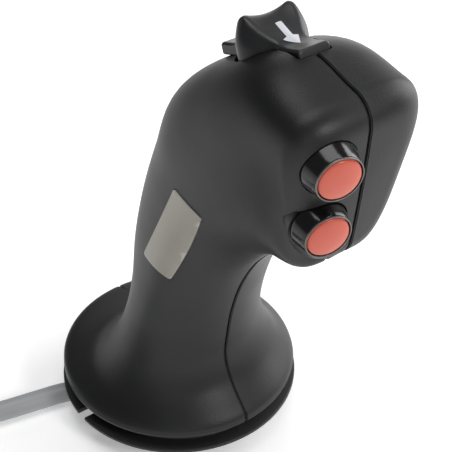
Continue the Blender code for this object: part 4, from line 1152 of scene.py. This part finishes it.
def paddle_height(reach, edge):
    crest = CREST_HEIGHT + (HORN_HEIGHT - CREST_HEIGHT) * edge**2
    blend = min(1.0, reach / CREST_REACH)
    fall = 0.5 + 0.5 * math.cos(math.pi * blend**0.85)
    tongue = TONGUE_THICKNESS / 2
    return tongue + (crest - tongue) * fall ** (1.15 + 0.5 * edge)


class GRIP_OT_paddle(bpy.types.Operator):
    """Shape the paddle with its horns and concave flanks, and print its arrow"""

    bl_idname = "grip.paddle"
    bl_label = "Paddle"

    def execute(self, context):
        low = -TONGUE_THICKNESS / 2
        steps_along, steps_across = 96, 24
        soft = PADDLE_SOFT
        shape = bmesh.new()
        rows = []
        for index in range(steps_along + 1):
            y = TONGUE_END * math.sin(math.pi / 2 * (-1 + 2 * index / steps_along))
            reach = abs(y)
            end = min(1.0, (TONGUE_END - reach) / soft)
            narrowing = soft * (1 - math.sqrt(max(0.0, 1 - (1 - end) ** 2)))
            half_width = paddle_half_width(reach) - narrowing
            ring = []
            for step in range(steps_across + 1):
                share = -1 + 2 * step / steps_across
                edge = abs(share)
                inward = 1.0
                if reach < LOBE_REACH:
                    inward = 1.0 - (1.0 - HORN_HALF_WIDTH / WAIST_HALF_WIDTH) * (1 - reach / LOBE_REACH)
                rounding = 0.0007 * max(0.0, (edge - 0.84) / 0.16) ** 2
                top = paddle_height(reach, edge) - rounding - narrowing
                ring.append(shape.verts.new((share * half_width * inward, y, top)))
            wall = []
            for part in range(1, 11):
                drop = part / 10
                up = ring[-1].co.z + (low + PADDLE_FOOT - ring[-1].co.z) * drop
                side = half_width
                if drop < 0.6:
                    side -= (half_width - ring[-1].co.x) * (1 - drop / 0.6) ** 1.6
                wall.append((side, up))
            ring += [shape.verts.new((side, y, up)) for side, up in wall]
            ring.append(shape.verts.new((half_width - PADDLE_FOOT, y, low + narrowing)))
            ring.append(shape.verts.new((PADDLE_FOOT - half_width, y, low + narrowing)))
            ring += [shape.verts.new((-side, y, up)) for side, up in reversed(wall)]
            rows.append(ring)
        bridge_closed(shape, rows)
        bmesh.ops.transform(shape, matrix=paddle_frame(), verts=shape.verts)
        body = add_object("paddle_body", mesh_of(shape, "paddle_body"), black_paddle())
        pocket = box_mesh(
            "paddle_pocket",
            (-POCKET_HALF_WIDTH, -POCKET_HALF_LENGTH, low - OVERLAP),
            (POCKET_HALF_WIDTH, POCKET_HALF_LENGTH, POCKET_CEILING),
            paddle_frame(),
        )
        cut(body, helper("paddle_pocket", pocket))
        baked(body, 38.0)
        drop_helpers()
        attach(body, "rocker")
        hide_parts("paddle")
        self.arrow()
        return {"FINISHED"}

    def arrow(self):
        """A thin arrow laid on the front slope, pointing forward."""
        tail, barb, tip = 0.0047, 0.0093, 0.0138
        shaft, head = 0.0011, 0.00285
        shape = bmesh.new()
        rows = []
        steps = 26
        for index in range(steps + 1):
            reach = tail + (tip - tail) * index / steps
            half = shaft if reach < barb else head * (tip - reach) / (tip - barb) + 0.00005
            row = []
            for step in range(7):
                share = -1 + 2 * step / 6
                across = share * half
                edge = min(1.0, abs(across) / paddle_half_width(reach))
                up = paddle_height(reach, edge) + 0.00006
                row.append(shape.verts.new((across, -reach, up)))
            rows.append(row)
        for first, second in zip(rows, rows[1:]):
            for a, b, c, d in zip(first, first[1:], second[1:], second):
                shape.faces.new((a, b, c, d))
        bmesh.ops.transform(shape, matrix=paddle_frame(), verts=shape.verts)
        print_mesh = mesh_of(shape, "paddle_arrow")
        mark = add_object("paddle_arrow", print_mesh, white_ink())
        skin = mark.modifiers.new("Ink", "SOLIDIFY")
        skin.thickness = 0.00008
        skin.offset = 0.0
        baked(mark, 60.0)
        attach(mark, "rocker")


class GRIP_OT_buttons(bpy.types.Operator):
    """Turn the caps, rims and bezels of both buttons"""

    bl_idname = "grip.buttons"
    bl_label = "Buttons"

    def execute(self, context):
        props = context.scene.grip
        for which in BUTTONS:
            frame_of = button_frame(which)
            self.cap(props, which, frame_of)
            self.rim(props, which, frame_of)
            self.bezel(props, which, frame_of)
        return {"FINISHED"}

    def cap(self, props, which, frame_of):
        face = [
            (0.0, CAP_CROWN), (CAP_RADIUS * 0.25, CAP_CROWN * 0.96), (CAP_RADIUS * 0.5, CAP_CROWN * 0.80),
            (CAP_RADIUS * 0.72, CAP_CROWN * 0.52), (CAP_RADIUS * 0.88, CAP_CROWN * 0.22),
            (CAP_RADIUS * 0.95, 0.0), (CAP_RADIUS * 0.985, -0.00025), (CAP_RADIUS, -0.0007),
        ]
        foot = -CAP_SKIRT
        body = [
            (CAP_RADIUS, foot), (STEM_RADIUS, foot), (STEM_RADIUS, foot - STEM_LENGTH),
            (0.0, foot - STEM_LENGTH),
        ]
        cap = turned(f"{which}_cap", face + body, red_cap(props), frame_of)
        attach(cap, f"button_{which}")
        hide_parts(f"{which}_button_cap")

    def rim(self, props, which, frame_of):
        bore = CAP_RADIUS + FIT
        corners = [
            (bore, 0.0), (bore, -RIM_THICKNESS), (props.bezel_rim, -RIM_THICKNESS),
            (props.bezel_rim - 0.00005, 0.0),
        ]
        ring = rounded_profile(corners, (0.00012, 0.00005, 0.00005, 0.00018), 3)
        # The rim's light grey is partly a painted highlight of the bezel's edge.
        rim = turned(f"{which}_rim", ring, bright_rim(), frame_of)
        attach(rim, "grip")
        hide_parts(f"{which}_button_rim")

    def bezel(self, props, which, frame_of):
        bore = CAP_RADIUS + FIT
        top = -RIM_THICKNESS - FIT / 2
        floor = -CAP_SKIRT - BUTTON_TRAVEL - FIT
        end = -BEZEL_PROUD - BARREL_LENGTH
        seat = end + BARREL_SEAT
        corners = [
            (bore, top), (bore, floor), (BARREL_BORE, floor), (BARREL_BORE, seat),
            (STEM_RADIUS + FIT, seat), (STEM_RADIUS + FIT, end), (BARREL_RADIUS, end),
            (BARREL_RADIUS, -BEZEL_PROUD),
            (BEZEL_FOOT_RADIUS, -BEZEL_PROUD), (BEZEL_FOOT_RADIUS, -BEZEL_PROUD + 0.0009),
            (props.bezel_rim + 0.00035, top - 0.0012), (props.bezel_rim, top),
        ]
        radii = (0, 0, 0, 0, 0, 0, 0.0003, 0, 0.00035, 0.0008, 0.0012, 0.0002)
        bezel = turned(f"{which}_bezel", rounded_profile(corners, radii, 5), gloss_black(), frame_of, 128)
        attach(bezel, "grip")
        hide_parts(f"{which}_button_bezel")


class GRIP_OT_screws(bpy.types.Operator):
    """Set the four socket screws along their points"""

    bl_idname = "grip.screws"
    bl_label = "Housing screws"

    def execute(self, context):
        proto = self.screw()
        tree = self.tree(proto)
        points = bpy.data.meshes.new("screw_points")
        points.from_pydata([line.translation for line in screw_lines()], [], [])
        carrier = add_object("housing_screws", points)
        modifier = carrier.modifiers.new("Screws", "NODES")
        modifier.node_group = tree
        for item in tree.interface.items_tree:
            if item.item_type == "SOCKET" and item.in_out == "INPUT" and item.name == "Seat":
                modifier[item.identifier] = SCREW_SEAT + FIT / 2
        baked(carrier, 35.0)
        bpy.data.objects.remove(proto)
        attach(carrier, "grip")
        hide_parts(*[f"housing_screw_{number}" for number in range(1, 5)])
        if len(carrier.data.polygons) < 400:
            raise RuntimeError("the screws did not come out of their tree")
        return {"FINISHED"}

    def screw(self):
        head = SCREW_HEAD_THICKNESS
        corners = [
            (0.0, head - SOCKET_DEPTH), (SOCKET_RADIUS, head - SOCKET_DEPTH), (SOCKET_RADIUS, head),
            (SCREW_HEAD_RADIUS, head), (SCREW_HEAD_RADIUS, 0.0), (SCREW_RADIUS, 0.0),
            (SCREW_RADIUS, -SCREW_LENGTH), (0.0, -SCREW_LENGTH),
        ]
        radii = (0, 0, 0.0001, 0.0003, 0.0001, 0, 0.0003, 0)
        return turned("screw_pattern", rounded_profile(corners, radii, 3), zinc(), Matrix.Identity(4), 36)

    def tree(self, proto):
        """Points to screws: each copy is turned to +X and raised to its seat."""
        tree = bpy.data.node_groups.new("Screws On Points", "GeometryNodeTree")
        tree.interface.new_socket("Geometry", in_out="INPUT", socket_type="NodeSocketGeometry")
        seat = tree.interface.new_socket("Seat", in_out="INPUT", socket_type="NodeSocketFloat")
        seat.default_value = SCREW_SEAT
        seat.subtype = "DISTANCE"
        tree.interface.new_socket("Geometry", in_out="OUTPUT", socket_type="NodeSocketGeometry")
        put = tree.nodes.new("NodeGroupInput")
        out = tree.nodes.new("NodeGroupOutput")
        source = add_node(tree, "GeometryNodeObjectInfo", {"Object": proto})
        offset = add_node(tree, "ShaderNodeCombineXYZ", {"X": put.outputs["Seat"]})
        move = add_node(tree, "GeometryNodeSetPosition", {
            "Geometry": put.outputs["Geometry"], "Offset": offset.outputs["Vector"],
        })
        copies = add_node(tree, "GeometryNodeInstanceOnPoints", {
            "Points": move.outputs["Geometry"], "Instance": source.outputs["Geometry"],
            "Rotation": (0.0, math.pi / 2, 0.0),
        })
        real = add_node(tree, "GeometryNodeRealizeInstances", {"Geometry": copies.outputs["Instances"]})
        steel = add_node(
            tree, "GeometryNodeSetMaterial", {"Geometry": real.outputs["Geometry"], "Material": zinc()}
        )
        tree.links.new(steel.outputs["Geometry"], out.inputs["Geometry"])
        return tree


class GRIP_OT_finishes(bpy.types.Operator):
    """Give the carried-over parts their finishes"""

    bl_idname = "grip.finishes"
    bl_label = "Part finishes"

    def execute(self, context):
        by_slot = {
            "zinc_steel": zinc, "spring_wire": spring_wire, "brass": brass, "nylon": nylon,
            "switch_case": switch_case, "boot_rubber": black_rubber, "loom": black_rubber,
            "plug_case": switch_case, "cable_jacket": grey_jacket, "bezel": gloss_black, "rim": bright_rim,
            "trim": silver_trim, "paddle": black_paddle,
        }
        for part in frame["record"]["subparts"]:
            node = bpy.data.objects.get(part["node"])
            if node is None:
                raise RuntimeError(f"{part['node']} isn't in the frame")
            make = by_slot.get(part["material_slot"])
            made = make() if make else charcoal(context.scene.grip)
            node.data.materials.clear()
            node.data.materials.append(made)
        return {"FINISHED"}


class GRIP_PT_panel(bpy.types.Panel):
    """Sidebar panel with the sizes, the colours and the steps in order"""

    bl_idname = "GRIP_PT_panel"
    bl_label = "Joystick Grip"
    bl_space_type = "VIEW_3D"
    bl_region_type = "UI"
    bl_category = "Grip"

    def draw(self, context):
        column = self.layout.column()
        for name in GripSettings.__annotations__:
            column.prop(context.scene.grip, name)
        for step in STEPS:
            column.operator(step.bl_idname)


STEPS = (
    GRIP_OT_stage, GRIP_OT_cable, GRIP_OT_housing, GRIP_OT_trim, GRIP_OT_paddle, GRIP_OT_buttons,
    GRIP_OT_screws, GRIP_OT_finishes,
)
CLASSES = (GripSettings, *STEPS, GRIP_PT_panel)


def register():
    for part in CLASSES:
        bpy.utils.register_class(part)
    bpy.types.Scene.grip = bpy.props.PointerProperty(type=GripSettings)


def unregister():
    del bpy.types.Scene.grip
    for part in reversed(CLASSES):
        bpy.utils.unregister_class(part)


def main():
    register()
    bpy.ops.grip.stage()
    bpy.ops.grip.cable()
    bpy.ops.grip.housing()
    bpy.ops.grip.trim()
    bpy.ops.grip.paddle()
    bpy.ops.grip.buttons()
    bpy.ops.grip.screws()
    bpy.ops.grip.finishes()


if __name__ == "__main__":
    main()
